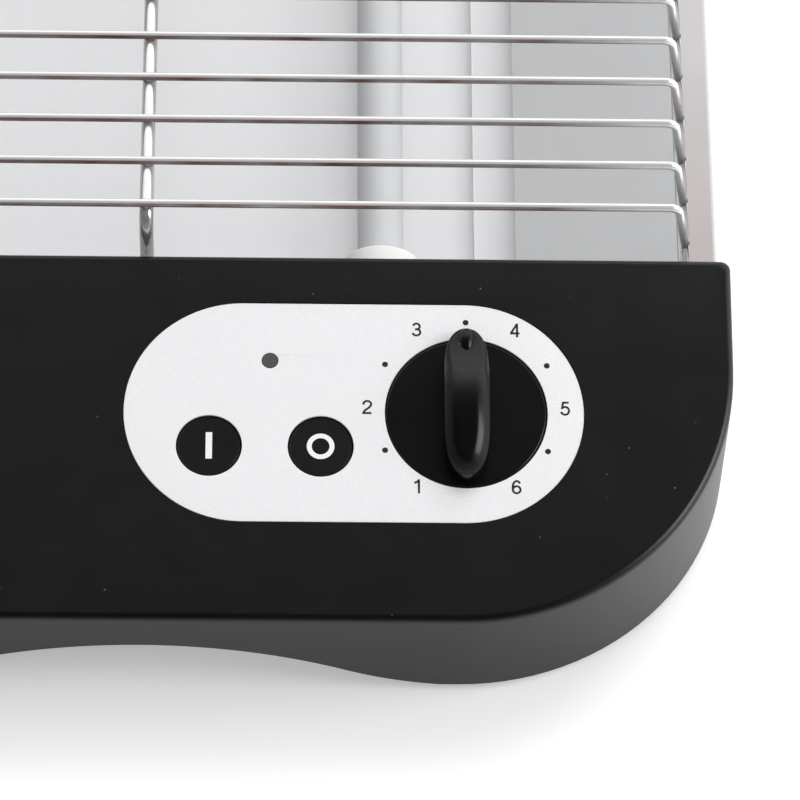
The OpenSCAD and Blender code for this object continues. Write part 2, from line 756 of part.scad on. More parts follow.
module cord_gland() color([0.16, 0.16, 0.17]) {
    flange_t = 2;
    translate([-body_w / 2, control_edge_y - gland_y, foot_h + gland_z]) rotate([0, 90, 0]) difference() {
        union() {
            cylinder(r = gland_r, h = gland_l);
            translate([0, 0, shell_t]) cylinder(r = gland_r + flange_t, h = flange_t);
        }
        translate([0, 0, -over]) cylinder(r = gland_bore_r, h = gland_l + 2 * over);
    }
}

module rear_housing() color([0.10, 0.10, 0.11]) at_rear() difference() {
    union() {
        housing_shell(rear_depth, rear_corner_r);
        both_sides(rear_screws) top_boss($side);
    }
    both_sides(rear_screws) boss_bore($side);
}

module rear_base() color([0.13, 0.13, 0.14]) at_rear()
    base_cover(rear_depth, rear_corner_r, rear_screws, rear_foot);

// Rounded rectangle from one corner to the opposite one
module rounded_box(low, high, r) {
    translate([low[0] + r, low[1]]) square([high[0] - low[0] - 2 * r, high[1] - low[1]]);
    translate([low[0], low[1] + r]) square([high[0] - low[0], high[1] - low[1] - 2 * r]);
    for (x = [low[0] + r, high[0] - r], z = [low[1] + r, high[1] - r])
        translate([x, z]) circle(r, $fn = 48);
}

// Section of a side panel: bottom flange, outer wall, rim and the lip inside it
module side_section() {
    difference() {
        rounded_box([lip_x, trough_z], [panel_outer_x, rim_z], bend_r);
        rounded_box([lip_x + steel_t, trough_z + steel_t], [panel_outer_x - steel_t, rim_z - steel_t],
            bend_r - steel_t);
        translate([lip_x - over, trough_z + steel_t])
            square([over + bend_r, slope_top_z - trough_z - steel_t]);
    }
}

// Run of an X and Z section along Y
module run_y(from, to) {
    translate([0, to, 0]) rotate([90, 0, 0]) linear_extrude(to - from) children();
}

// Holes in the rim's inner edge that take the legs of the cross wires
module wire_holes() {
    for (i = [0 : wire_count - 1]) translate([leg_x, first_wire_y + i * wire_pitch, leg_z])
        rotate([0, 180 - wire_lean, 0]) cylinder(r = wire_hole_r, h = leg_z - leg_end_z + over, $fn = 32);
}

// Side panel on the right, with the holes for the rack and for the screws from below
module side_panel() {
    difference() {
        run_y(trough_front, trough_rear) side_section();
        wire_holes();
        for (y = [control_edge_y + body_screw[1], rear_edge_y - body_screw[1]])
            translate([body_screw[0], y, trough_z - over])
                cylinder(r = screw_r + screw_play, h = steel_t + 2 * over, $fn = 32);
    }
}

module right_side_panel() color([0.80, 0.80, 0.81]) side_panel();

module left_side_panel() color([0.80, 0.80, 0.81]) difference() {
    mirror([1, 0, 0]) side_panel();
    translate([-panel_outer_x - over, tray_front - clearance, floor_z])
        cube([2 * over + steel_t, tray_rear - tray_front + 2 * clearance, tray_h + 2 * clearance]);
}

module bottom_plate() color([0.84, 0.84, 0.85]) difference() {
    half = panel_outer_x - bend_r - clearance;
    translate([-half, trough_front, trough_z + steel_t])
        cube([2 * half, trough_rear - trough_front, steel_t]);
    for (s = [-1, 1], y = [control_edge_y + body_screw[1], rear_edge_y - body_screw[1]])
        translate([s * body_screw[0], y, trough_z])
            cylinder(r = screw_r + screw_play, h = 3 * steel_t + over, $fn = 32);
}

// End plate that stands on the bottom plate, with its inner face on Y = 0 and its foot turned outwards
module end_plate() {
    foot_l = trough_overlap - end_plate_set - steel_t - clearance;
    foot_half = body_screw[0] - screw_head_r - rim_w / 2;
    difference() {
        union() {
            translate([-end_plate_half, -steel_t, floor_z])
                cube([2 * end_plate_half, steel_t, end_plate_top - floor_z]);
            translate([-foot_half, -steel_t - foot_l, floor_z])
                cube([2 * foot_half, foot_l + steel_t, steel_t]);
        }
        for (s = [-1, 1]) translate([s * tube_x, over, tube_z]) rotate([90, 0, 0])
            cylinder(r = cap_neck_r + seat_play, h = steel_t + 2 * over);
        translate([0, over, rod_stub_z]) rotate([90, 0, 0])
            cylinder(r = rod_hole_r, h = steel_t + 2 * over, $fn = 48);
    }
}

module front_end_plate() color([0.78, 0.78, 0.80]) translate([0, front_plate_y, 0]) end_plate();

module rear_end_plate() color([0.78, 0.78, 0.80])
    translate([0, rear_plate_y, 0]) mirror([0, 1, 0]) end_plate();

// Section of a reflector on the right: tab on the lip, slope, and a leg down to the given height
module reflector_section(leg_foot) {
    lean = atan2(slope_top_z - slope_low_z, tab_x - reflector_x);
    under = steel_t / cos(lean) - steel_t * tan(lean);
    polygon([[reflector_x, leg_foot], [reflector_x, slope_low_z], [tab_x, slope_top_z],
        [tab_x, slope_top_z + tab_h], [tab_x + steel_t, slope_top_z + tab_h],
        [tab_x + steel_t, slope_top_z - under], [reflector_x + steel_t, slope_low_z - under],
        [reflector_x + steel_t, leg_foot]]);
}

module right_reflector() color([0.90, 0.90, 0.91])
    run_y(front_plate_y, rear_plate_y) reflector_section(floor_z);

module left_reflector() color([0.90, 0.90, 0.91])
    mirror([1, 0, 0]) run_y(front_plate_y, rear_plate_y) reflector_section(hem_z);

module crumb_tray() color([0.88, 0.88, 0.89]) {
    l = tray_rear - tray_front;
    translate([-pull_x - tray_t, tray_front, tray_z]) cube([pull_x + tray_t + tray_x, l, tray_t]);
    translate([tray_x - tray_t, tray_front, tray_z]) cube([tray_t, l, tray_h]);
    for (y = [tray_front, tray_rear - tray_t])
        translate([-pull_x - tray_t / 2, y, tray_z]) cube([pull_x + tray_x, tray_t, tray_h]);
    translate([-pull_x - tray_t, tray_front - pull_over, trough_z])
        cube([tray_t, l + 2 * pull_over, tray_z + tray_h + pull_over - trough_z]);
    translate([-pull_x - pull_hem_r, tray_front - pull_over, trough_z]) rotate([-90, 0, 0])
        cylinder(r = pull_hem_r, h = l + 2 * pull_over, $fn = 48);
}

// Hollow quartz tube between its two ceramic caps
module quartz_tube(x) {
    translate([x, tube_rear, tube_z]) rotate([90, 0, 0]) difference() {
        cylinder(r = tube_r, h = tube_rear - tube_front);
        translate([0, 0, -over]) cylinder(r = tube_r - tube_wall, h = tube_rear - tube_front + 2 * over);
    }
}

module left_quartz_tube() color([0.88, 0.89, 0.90]) quartz_tube(-tube_x);

module right_quartz_tube() color([0.88, 0.89, 0.90]) quartz_tube(tube_x);

// Heating coil: its turns start and stop gently, so that both ends run along the tube
coil_from = tube_front + pin_disc_t;
coil_to = tube_rear - pin_disc_t;
coil_rings = 8;
coil_ease = 0.03;
coil_steps = coil_turns * coil_rings;
function coil_share(s) = s < coil_ease ? s * s / (2 * coil_ease * (1 - coil_ease))
    : s > 1 - coil_ease ? 1 - (1 - s) * (1 - s) / (2 * coil_ease * (1 - coil_ease))
    : (s - coil_ease / 2) / (1 - coil_ease);
function coil_point(x, s) = let (a = 360 * coil_turns * coil_share(s))
    [x + coil_r * cos(a), coil_from + s * (coil_to - coil_from), tube_z + coil_r * sin(a)];
coil_points = [for (i = [0 : coil_steps]) coil_point(0, i / coil_steps)];
coil_gap = min([for (i = [0 : coil_steps - coil_rings], j = [i + coil_rings / 2 + 1 : i + coil_rings])
    norm(coil_points[i] - coil_points[j])]) - 2 * coil_wire_r;
echo(least_gap_between_coil_turns = coil_gap);

module heating_coil(x) {
    swept_wires([[for (i = [0 : coil_steps]) coil_point(x, i / coil_steps)]], coil_wire_r, 6, [1, 0, 0]);
}

module left_heating_coil() color([0.55, 0.50, 0.46]) heating_coil(-tube_x);

module right_heating_coil() color([0.55, 0.50, 0.46]) heating_coil(tube_x);

// Ceramic cap on a tube's end, with Z from its chamber face out towards the housing
module ceramic_cap() {
    ease = 1.5;
    rotate_extrude() difference() {
        union() {
            translate([0, ease]) square([cap_r, cap_flange_l - ease]);
            square([cap_r - ease, cap_flange_l]);
            translate([cap_r - ease, ease]) circle(ease, $fn = 48);
            square([cap_neck_r, cap_tail_end]);
        }
        translate([-2 * cap_r, -over]) square([2 * cap_r, cap_tail_end + 2 * over]);
        translate([0, -over]) square([tube_r + seat_play, cap_seat + over]);
        square([pin_r + seat_play, cap_tail_end + over]);
    }
}

module front_cap(x) {
    translate([x, cap_end_front, tube_z]) rotate([90, 0, 0]) ceramic_cap();
}

module rear_cap(x) {
    translate([x, cap_end_rear, tube_z]) rotate([-90, 0, 0]) ceramic_cap();
}

module front_left_cap() color([0.95, 0.94, 0.92]) front_cap(-tube_x);

module front_right_cap() color([0.95, 0.94, 0.92]) front_cap(tube_x);

module rear_left_cap() color([0.95, 0.94, 0.92]) rear_cap(-tube_x);

module rear_right_cap() color([0.95, 0.94, 0.92]) rear_cap(tube_x);

// Terminal of a tube: disc that the coil meets, pin through the cap and a flat tab behind it
module tube_terminal() {
    pin_l = cap_tail_end - cap_seat;
    translate([0, 0, cap_seat - pin_disc_t]) cylinder(r = pin_disc_r, h = pin_disc_t);
    translate([0, 0, cap_seat - pin_disc_t]) cylinder(r = pin_r, h = pin_l + pin_disc_t + over, $fn = 48);
    translate([-spade_w / 2, -spade_t / 2, cap_tail_end]) cube([spade_w, spade_t, spade_l]);
}

module front_terminals() color([0.80, 0.68, 0.35]) for (s = [-1, 1])
    translate([s * tube_x, cap_end_front, tube_z]) rotate([90, 0, 0]) tube_terminal();

module rear_terminals() color([0.80, 0.68, 0.35]) for (s = [-1, 1])
    translate([s * tube_x, cap_end_rear, tube_z]) rotate([-90, 0, 0]) tube_terminal();

// Path of a cross wire from the foot of one leg, over the top, to the foot of the other
wire_bend_steps = 4;
function half_wire(s) = concat([[s * (leg_x + (leg_z - leg_end_z) * tan(wire_lean)), leg_end_z]],
    [for (i = [0 : wire_bend_steps]) let (a = wire_lean + (90 - wire_lean) * i / wire_bend_steps)
        [s * (wire_half + wire_bend * cos(a)), wire_z - wire_bend + wire_bend * sin(a)]]);
function cross_wire(y) = [for (q = concat(half_wire(-1), reversed(half_wire(1)))) [q[0], y, q[1]]];

module rack_wires() color([0.86, 0.86, 0.87]) swept_wires(
    [for (i = [0 : wire_count - 1]) cross_wire(first_wire_y + i * wire_pitch)], wire_r, 8, [0, 1, 0]);

// Quarter bend of a round bar in the plane of X and Y, about Z
module quarter_bend(bend, r) {
    rotate_extrude(angle = 90, $fn = 96) translate([bend, 0]) circle(r, $fn = 48);
}

// End of the middle rod: down behind the housing's edge, then through the end plate
module rod_end() {
    leg_top = rod_z - rod_bend;
    leg_foot = rod_stub_z + rod_bend;
    translate([0, rod_leg_set + rod_bend, leg_top]) rotate([90, 0, -90]) quarter_bend(rod_bend, rod_r);
    translate([0, rod_leg_set, leg_foot]) cylinder(r = rod_r, h = leg_top - leg_foot, $fn = 48);
    translate([0, rod_leg_set - rod_bend, leg_foot]) rotate([90, 0, 90]) rotate(-90)
        quarter_bend(rod_bend, rod_r);
    translate([0, rod_leg_set - rod_bend, rod_stub_z]) rotate([90, 0, 0])
        cylinder(r = rod_r, h = rod_stub_l - rod_bend, $fn = 48);
}

module rack_rod() color([0.84, 0.84, 0.86]) {
    from = control_edge_y + rod_leg_set + rod_bend;
    to = rear_edge_y - rod_leg_set - rod_bend;
    translate([0, to, rod_z]) rotate([90, 0, 0]) cylinder(r = rod_r, h = to - from, $fn = 48);
    at_control() rod_end();
    at_rear() rod_end();
}

// Rubber foot pressed into a base cover
module rubber_foot() {
    ease = 1;
    barb = 0.6;
    barb_z = base_top + screw_play;
    stem_top = base_top + foot_stem_h - base_t;
    rotate_extrude() polygon([[0, 0], [foot_r - ease, 0], [foot_r, ease], [foot_r, base_z],
        [foot_stem_r, base_z], [foot_stem_r, barb_z], [foot_stem_r + barb, barb_z],
        [foot_stem_r - barb, stem_top], [0, stem_top]]);
}

module rubber_feet() color([0.09, 0.09, 0.09]) {
    at_control() both_sides([control_foot]) translate([$side[0], $side[1], 0]) rubber_foot();
    at_rear() both_sides([rear_foot]) translate([$side[0], $side[1], 0]) rubber_foot();
}

module base_screws() color([0.55, 0.55, 0.57]) {
    at_control() both_sides(control_screws) translate([$side[0], $side[1], base_z]) screw(screw_l);
    at_rear() both_sides(rear_screws) translate([$side[0], $side[1], base_z]) screw(screw_l);
}

module body_screws() color([0.55, 0.55, 0.57]) {
    at_control() both_sides([body_screw]) translate([$side[0], $side[1], base_z]) screw(screw_l);
    at_rear() both_sides([body_screw]) translate([$side[0], $side[1], base_z]) screw(screw_l);
}

// Insulated leads from the terminal block to the two tubes, and the link behind the tubes
lead_r = 1.2;
lead_turn = 4;
lead_drop = 2;
front_tab_y = cap_end_front - cap_tail_end - spade_l;
rear_tab_y = cap_end_rear + cap_tail_end + spade_l;
port_depth = board_under + terminal_size[2] / 2;
function port(s) = panel_point(terminal_u + s * port_pitch / 2,
    terminal_v + terminal_size[1] / 2, port_depth);
function front_lead(s) = [[s * tube_x, front_tab_y, tube_z],
    [s * tube_x, front_tab_y - lead_turn / 2, tube_z],
    [s * (tube_x - lead_turn), front_tab_y - lead_turn, tube_z - lead_drop],
    port(s) + [s * lead_turn, lead_turn, -lead_drop / 2], port(s) + [0, lead_turn / 2, 0], port(s)];
function jumper_half(s) = [[s * tube_x, rear_tab_y, tube_z],
    [s * tube_x, rear_tab_y + lead_turn / 2, tube_z],
    [s * (tube_x - lead_turn), rear_tab_y + lead_turn, tube_z]];

module front_leads() color([0.75, 0.20, 0.15])
    swept_wires([for (s = [-1, 1]) front_lead(s)], lead_r, 8, [0, 0, 1]);

module rear_jumper() color([0.75, 0.20, 0.15])
    swept_wires([concat(jumper_half(-1), reversed(jumper_half(1)))], lead_r, 8, [0, 0, 1]);

control_housing();
control_base();
control_panel();
timer_knob();
timer_shaft();
timer_potentiometer();
start_button();
stop_button();
start_plunger();
stop_plunger();
start_switch();
stop_switch();
indicator_lens();
indicator_led();
control_board();
power_relay();
suppression_capacitor();
terminal_block();
board_screws();
thermal_cutout();
cord_gland();
rear_housing();
rear_base();
left_side_panel();
right_side_panel();
bottom_plate();
front_end_plate();
rear_end_plate();
left_reflector();
right_reflector();
crumb_tray();
left_quartz_tube();
right_quartz_tube();
left_heating_coil();
right_heating_coil();
front_left_cap();
front_right_cap();
rear_left_cap();
rear_right_cap();
front_terminals();
rear_terminals();
rack_wires();
rack_rod();
rubber_feet();
base_screws();
body_screws();
front_leads();
rear_jumper();
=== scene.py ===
"""Flatbed toaster: finishes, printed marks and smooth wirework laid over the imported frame.

Everything is in metres in the frame's own axes: X across the toaster, Y away from the
control end, Z up from the table.
"""
import logging
import math
from dataclasses import dataclass, field
from enum import Enum
from typing import Sequence

import bmesh
import bpy
from mathutils import Matrix, Vector


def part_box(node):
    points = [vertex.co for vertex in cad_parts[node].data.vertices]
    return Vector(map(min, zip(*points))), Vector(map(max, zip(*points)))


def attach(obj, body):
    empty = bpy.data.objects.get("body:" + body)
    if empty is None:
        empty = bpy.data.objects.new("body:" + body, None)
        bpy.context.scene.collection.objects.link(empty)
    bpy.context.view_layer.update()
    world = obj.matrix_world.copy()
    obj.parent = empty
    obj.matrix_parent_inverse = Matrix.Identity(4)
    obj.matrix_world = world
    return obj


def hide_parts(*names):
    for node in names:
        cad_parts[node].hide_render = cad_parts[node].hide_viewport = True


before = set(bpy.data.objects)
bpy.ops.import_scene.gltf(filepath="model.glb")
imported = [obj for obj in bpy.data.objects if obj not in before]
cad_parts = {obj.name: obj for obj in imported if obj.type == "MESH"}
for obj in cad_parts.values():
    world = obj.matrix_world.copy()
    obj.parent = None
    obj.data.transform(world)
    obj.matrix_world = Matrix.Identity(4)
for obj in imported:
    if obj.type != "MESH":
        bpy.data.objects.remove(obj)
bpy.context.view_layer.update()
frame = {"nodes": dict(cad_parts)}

LOG = logging.getLogger("toaster")
MM = 0.001
Colour = tuple[float, float, float]
Socket = bpy.types.NodeSocket
Material = bpy.types.Material
Builder = bmesh.types.BMesh
Loop = list[bmesh.types.BMVert]
Stroke = tuple[tuple[float, float], ...]

WHITE: Colour = (1.0, 1.0, 1.0)
QUARTER_TURN = tuple(math.radians(15 * step) for step in range(7))
ARC_STEP_DEG = 12
TIP_BULGE = 0.35
MIX_COLOUR_INPUTS = (0, 6, 7)
MIX_COLOUR_OUTPUT = 2
SPECK_CORE = 0.6
SPECK_EDGE = 0.002
JOIN_GAP = 0.002 * MM
BEVEL_FROM_DEG = 50


class Body(Enum):
    """Names of the bodies that pieces ride on."""

    TOASTER = "toaster"
    TIMER = "timer"
    START = "start"
    STOP = "stop"


class Grain(Enum):
    """Direction in which a sheet was rolled or a bar was drawn."""

    ALONG_X = (0.04, 1.0, 1.0)
    ALONG_Y = (1.0, 0.04, 1.0)
    ALONG_Z = (1.0, 1.0, 0.04)


class Axis(Enum):
    """Axes of the frame, by the letters of Blender's sockets."""

    X = "X"
    Y = "Y"
    Z = "Z"


class Course(Enum):
    """How a mapped value runs between its ends."""

    STRAIGHT = "LINEAR"
    SMOOTH = "SMOOTHSTEP"


class Ends(Enum):
    """What happens at the first and the last of a row of loops."""

    OPEN = "open"
    CAPPED = "capped"
    JOINED = "joined"


class Nodes:
    """A node tree with short calls for the nodes that the finishes and the room use."""

    def __init__(self, tree: bpy.types.NodeTree) -> None:
        """Takes up the tree that new nodes go in."""
        self.tree = tree

    def add(self, kind: str, *values: object, **settings: object) -> bpy.types.Node:
        """Adds a node.

        Args:
            kind: Blender's name of the node type.
            values: What goes into its first inputs, in their order.
            settings: Properties set on the node.

        Returns:
            The new node.
        """
        node = self.tree.nodes.new(kind)
        for name, value in settings.items():
            setattr(node, name, value)
        for target, value in zip(node.inputs, values):
            self.put(target, value)
        return node

    def put(self, target: Socket, value: object) -> None:
        """Links a socket to a target, or sets a constant on it.

        Args:
            target: Input that takes the value.
            value: A socket, a number or a colour.
        """
        if isinstance(value, Socket):
            self.tree.links.new(value, target)
        elif isinstance(value, tuple) and len(value) == 3 and target.type == "RGBA":
            target.default_value = (*value, 1.0)
        else:
            target.default_value = value

    def axis(self, vector: Socket, axis: Axis) -> Socket:
        """One coordinate of a vector."""
        return self.add("ShaderNodeSeparateXYZ", vector).outputs[axis.value]

    def reckon(self, operation: str, *values: object) -> Socket:
        """Result of a Math node's operation on values."""
        return self.add("ShaderNodeMath", *values, operation=operation).outputs[0]

    def times(self, first: Socket, second: Socket) -> Socket:
        """Product of two values."""
        return self.reckon("MULTIPLY", first, second)

    def spread(self, value: Socket, low: float = 0.0, high: float = 1.0, start: float = 0.3,
               stop: float = 0.7, course: Course = Course.STRAIGHT) -> Socket:
        """Maps a value from one range to another.

        Args:
            value: Value to map.
            low: Result at start.
            high: Result at stop.
            start: Lower end of the value.
            stop: Upper end of the value.
            course: How the result runs between the ends.

        Returns:
            The mapped value, held between low and high.
        """
        limits = (start, stop, low, high)
        node = self.add("ShaderNodeMapRange", value, *limits, interpolation_type=course.value)
        return node.outputs["Result"]

    def blend(self, share: Socket, first: object, second: object) -> Socket:
        """Mixes two colours.

        Args:
            share: Share of the second colour.
            first: Colour or socket at share 0.
            second: Colour or socket at share 1.

        Returns:
            The mixed colour.
        """
        node = self.add("ShaderNodeMix", data_type="RGBA")
        for index, value in zip(MIX_COLOUR_INPUTS, (share, first, second)):
            self.put(node.inputs[index], value)
        return node.outputs[MIX_COLOUR_OUTPUT]


class Graph(Nodes):
    """A material's nodes, with its Principled surface and the object's coordinates."""

    def __init__(self, name: str) -> None:
        """Starts a material.

        Args:
            name: Name of the material.
        """
        self.material = bpy.data.materials.new(name)
        self.material.use_nodes = True
        super().__init__(self.material.node_tree)
        self.surface = self.tree.nodes["Principled BSDF"]
        self.place = self.add("ShaderNodeTexCoord").outputs["Object"]

    def shade(self, **values: object) -> None:
        """Sets inputs of the Principled surface, named with underscores for spaces."""
        for name, value in values.items():
            self.put(self.surface.inputs[name.replace("_", " ")], value)

    def stretched(self, grain: Grain) -> Socket:
        """Object coordinates drawn out along a grain.

        Args:
            grain: Direction of the streaks.

        Returns:
            The stretched vector.
        """
        node = self.add("ShaderNodeMapping", self.place)
        self.put(node.inputs["Scale"], grain.value)
        return node.outputs["Vector"]

    def along(self) -> Socket:
        """Place along the toaster, in metres."""
        return self.axis(self.place, Axis.Y)

    def aside(self) -> Socket:
        """Distance from the toaster's middle plane, in metres."""
        return self.reckon("ABSOLUTE", self.axis(self.place, Axis.X))

    def upward(self) -> Socket:
        """How far the surface faces up, from -1 to 1."""
        return self.axis(self.add("ShaderNodeNewGeometry").outputs["Normal"], Axis.Z)

    def noise(self, scale: float, detail: float = 3.0, vector: Socket | None = None) -> Socket:
        """Soft noise between 0 and 1.

        Args:
            scale: Features per metre.
            detail: Number of finer layers.
            vector: Coordinates, the object's own if left out.

        Returns:
            The noise value.
        """
        node = self.add("ShaderNodeTexNoise", vector or self.place)
        self.put(node.inputs["Scale"], scale)
        self.put(node.inputs["Detail"], detail)
        return node.outputs["Fac"]

    def specks(self, scale: float, size: float, share: float) -> Socket:
        """Sparse round specks, 1 inside a speck and 0 elsewhere.

        Args:
            scale: Cells per metre.
            size: Radius of a speck as a share of its cell.
            share: Share of the cells that have one.

        Returns:
            The mask of the specks.
        """
        node = self.add("ShaderNodeTexVoronoi", self.place)
        self.put(node.inputs["Scale"], scale)
        near = self.spread(node.outputs["Distance"], 1.0, 0.0, size * SPECK_CORE, size)
        draw = self.add("ShaderNodeSeparateColor", node.outputs["Color"]).outputs[0]
        chosen = self.spread(draw, 0.0, 1.0, 1.0 - share, 1.0 - share + SPECK_EDGE)
        return self.times(near, chosen)

    def bump(self, height: Socket, strength: float, depth: float) -> None:
        """Raises the surface by a height map.

        Args:
            height: Height between 0 and 1.
            strength: Strength of the effect.
            depth: Height in metres that 1 stands for.
        """
        node = self.add("ShaderNodeBump")
        self.put(node.inputs["Height"], height)
        self.put(node.inputs["Strength"], strength)
        self.put(node.inputs["Distance"], depth)
        self.shade(Normal=node.outputs["Normal"])


def toned(colour: Colour, gain: float, lift: float = 0.0) -> Colour:
    """A colour with each of its parts multiplied by a gain and lifted, up to 1."""
    return tuple(min(1.0, part * gain + lift) for part in colour)


@dataclass(frozen=True)
class Finish:
    """A surface finish, which makes one material."""

    name: str
    colour: Colour

    def make(self) -> Material:
        """Builds the material.

        Returns:
            The new material.
        """
        graph = Graph(self.name)
        self.paint(graph)
        return graph.material

    def paint(self, graph: Graph) -> None:
        """Sets up the material's nodes."""
        raise NotImplementedError(self.name)


@dataclass(frozen=True)
class MouldedPlastic(Finish):
    """Moulded plastic with a fine spark-eroded grain, and dust where it has settled."""

    roughness: float = 0.5
    specular: float = 0.35
    grain_scale: float = 2600.0
    grain_depth: float = 0.02 * MM
    wear: float = 0.015
    dust: float = 0.0

    def paint(self, graph: Graph) -> None:
        """Sets up the mottled plastic, its dust and its grain.

        Args:
            graph: Nodes of the material.
        """
        mottle = toned(self.colour, gain=1.18, lift=0.0012)
        tone = graph.blend(graph.spread(graph.noise(scale=55.0)), self.colour, mottle)
        if self.dust:
            specks = graph.specks(scale=420.0, size=0.10, share=self.dust)
            tone = graph.blend(specks, tone, toned(self.colour, gain=0.4, lift=0.10))
        low, high = self.roughness - self.wear, self.roughness + self.wear
        worn = graph.spread(graph.noise(scale=130.0, detail=5.0), low, high)
        graph.shade(Base_Color=tone, Roughness=worn, Specular_IOR_Level=self.specular)
        graph.bump(graph.noise(self.grain_scale, detail=2.0), strength=0.35, depth=self.grain_depth)


@dataclass(frozen=True)
class SatinSilver(Finish):
    """Silver lacquer with fine flakes in it."""

    roughness: float = 0.42
    wear: float = 0.06
    metallic: float = 0.1

    def paint(self, graph: Graph) -> None:
        """Sets up the flakes, the clouds and the skin of the lacquer.

        Args:
            graph: Nodes of the material.
        """
        dull = toned(self.colour, gain=0.93)
        flakes = graph.spread(graph.noise(scale=2400.0, detail=2.0), start=0.35, stop=0.65)
        clouds = graph.spread(graph.noise(scale=38.0, detail=4.0), high=0.45)
        tone = graph.blend(clouds, graph.blend(flakes, dull, self.colour), dull)
        low, high = self.roughness - self.wear, self.roughness + self.wear
        worn = graph.spread(flakes, low, high, start=0.0, stop=1.0)
        graph.shade(Base_Color=tone, Metallic=self.metallic, Roughness=worn)
        graph.bump(graph.noise(scale=3200.0, detail=1.0), strength=0.2, depth=0.01 * MM)


@dataclass(frozen=True)
class BrightMetal(Finish):
    """Rolled, drawn or polished metal with faint streaks along its grain and patches of heat tint."""

    roughness: float
    grain: Grain
    streak_scale: float = 900.0
    wear: tuple[float, float] = (0.93, 1.08)
    metallic: float = 1.0
    relief: float = 0.02
    tint: Colour = (0.50, 0.42, 0.40)
    tint_share: float = 0.0
    tint_far: float = 0.2

    def paint(self, graph: Graph) -> None:
        """Sets up the streaks, and the tint on faces turned up near the control end.

        Args:
            graph: Nodes of the material.
        """
        streaks = graph.noise(self.streak_scale, detail=2.0, vector=graph.stretched(self.grain))
        tone = graph.blend(streaks, toned(self.colour, gain=0.98), self.colour)
        if self.tint_share:
            patch = graph.spread(graph.noise(scale=26.0), low=0.6, start=0.4)
            far = self.tint_far * self.tint_share
            near = graph.spread(graph.along(), self.tint_share, far, start=-105 * MM, stop=-55 * MM)
            flat = graph.spread(graph.upward(), start=0.85, stop=0.95)
            tone = graph.blend(graph.times(graph.times(patch, near), flat), tone, self.tint)
        low, high = (self.roughness * share for share in self.wear)
        worn = graph.spread(streaks, low, high, start=0.0, stop=1.0)
        graph.shade(Base_Color=tone, Metallic=self.metallic, Roughness=worn)
        graph.bump(streaks, self.relief, depth=0.01 * MM)


@dataclass(frozen=True)
class HeatTintAndShadeChrome(Finish):
    """Bright chrome whose underside is darkened: painted shade standing in for the dark reflection below,
    coloured like heat tint on the side turned to the heating tubes.
    """

    colour: Colour = (0.97, 0.965, 0.96)
    # Under colour: painted shade on the underside, in a heat-tint brown by default.
    under_tint_and_shade: Colour = (0.15, 0.07, 0.06)
    roughness: float = 0.18
    wear: tuple[float, float] = (0.8, 1.5)
    metallic: float = 0.5

    def paint(self, graph: Graph) -> None:
        """Sets up the chrome and the painted shade, in a heat-tint colour, on its underside.

        Args:
            graph: Nodes of the material.
        """
        # Painted shade: faces turned down and towards the viewer take the under colour, a darkening that
        # stands in for the dark reflection there, partly heat tint.
        under = graph.spread(graph.upward(), low=1.0, high=0.0, start=0.66, stop=0.85)
        patchy_shade_and_tint = graph.times(under, graph.spread(graph.noise(scale=70.0), low=0.6))
        inner = graph.spread(graph.aside(), low=1.0, high=0.0, start=85 * MM, stop=107 * MM)
        tone = graph.blend(graph.times(patchy_shade_and_tint, inner), self.colour, self.under_tint_and_shade)
        rub = graph.noise(scale=600.0)
        low, high = (self.roughness * share for share in self.wear)
        graph.shade(Base_Color=tone, Metallic=self.metallic, Roughness=graph.spread(rub, low, high))
        graph.bump(rub, strength=0.04, depth=0.02 * MM)


@dataclass(frozen=True)
class MilkyQuartz(Finish):
    """Milky quartz with a faint lengthwise draw."""

    roughness: float = 0.5
    wear: float = 0.1
    specular: float = 0.25

    def paint(self, graph: Graph) -> None:
        """Sets up the quartz and its draw.

        Args:
            graph: Nodes of the material.
        """
        draw = graph.noise(scale=900.0, vector=graph.stretched(Grain.ALONG_Y))
        tone = graph.blend(graph.spread(draw), self.colour, toned(self.colour, gain=1.03))
        worn = graph.spread(draw, self.roughness - self.wear, self.roughness + self.wear)
        graph.shade(Base_Color=tone, Roughness=worn, Specular_IOR_Level=self.specular)
        graph.bump(draw, strength=0.015, depth=0.01 * MM)


@dataclass(frozen=True)
class FiredCeramic(Finish):
    """Unglazed white ceramic with fine pores."""

    colour: Colour = (0.97, 0.965, 0.955)
    warm_gain: Colour = (0.97, 0.955, 0.93)

    def paint(self, graph: Graph) -> None:
        """Sets up the ceramic, its warm patches and its pores.

        Args:
            graph: Nodes of the material.
        """
        warm = tuple(part * gain for part, gain in zip(self.colour, self.warm_gain))
        patch = graph.spread(graph.noise(scale=160.0, detail=4.0))
        worn = graph.spread(graph.noise(scale=900.0), low=0.55, high=0.7)
        graph.shade(Base_Color=graph.blend(patch, self.colour, warm), Roughness=worn)
        graph.bump(graph.noise(scale=2200.0), strength=0.25, depth=0.03 * MM)


@dataclass(frozen=True)
class PrintedInk(Finish):
    """Screen-printed ink with a slightly uneven coat."""

    roughness: float = 0.55
    wear: float = 0.05

    def paint(self, graph: Graph) -> None:
        """Sets up the uneven coat.

        Args:
            graph: Nodes of the material.
        """
        coat = graph.noise(scale=1800.0)
        tone = graph.blend(graph.spread(coat), self.colour, toned(self.colour, gain=0.93, lift=0.004))
        worn = graph.spread(coat, self.roughness - self.wear, self.roughness + self.wear)
        graph.shade(Base_Color=tone, Roughness=worn)


@dataclass(frozen=True)
class TintedClear(Finish):
    """Tinted clear plastic of a lamp."""

    transmission: float = 0.2
    ior: float = 1.49

    def paint(self, graph: Graph) -> None:
        """Sets up the clear plastic and its flow marks.

        Args:
            graph: Nodes of the material.
        """
        flow = graph.noise(scale=700.0, detail=2.0)
        tone = graph.blend(graph.spread(flow), self.colour, toned(self.colour, gain=0.8))
        graph.shade(Base_Color=tone, Roughness=graph.spread(flow, low=0.3, high=0.42))
        graph.shade(Transmission_Weight=self.transmission, IOR=self.ior)


Looks = tuple[tuple[Finish, tuple[str, ...]], ...]


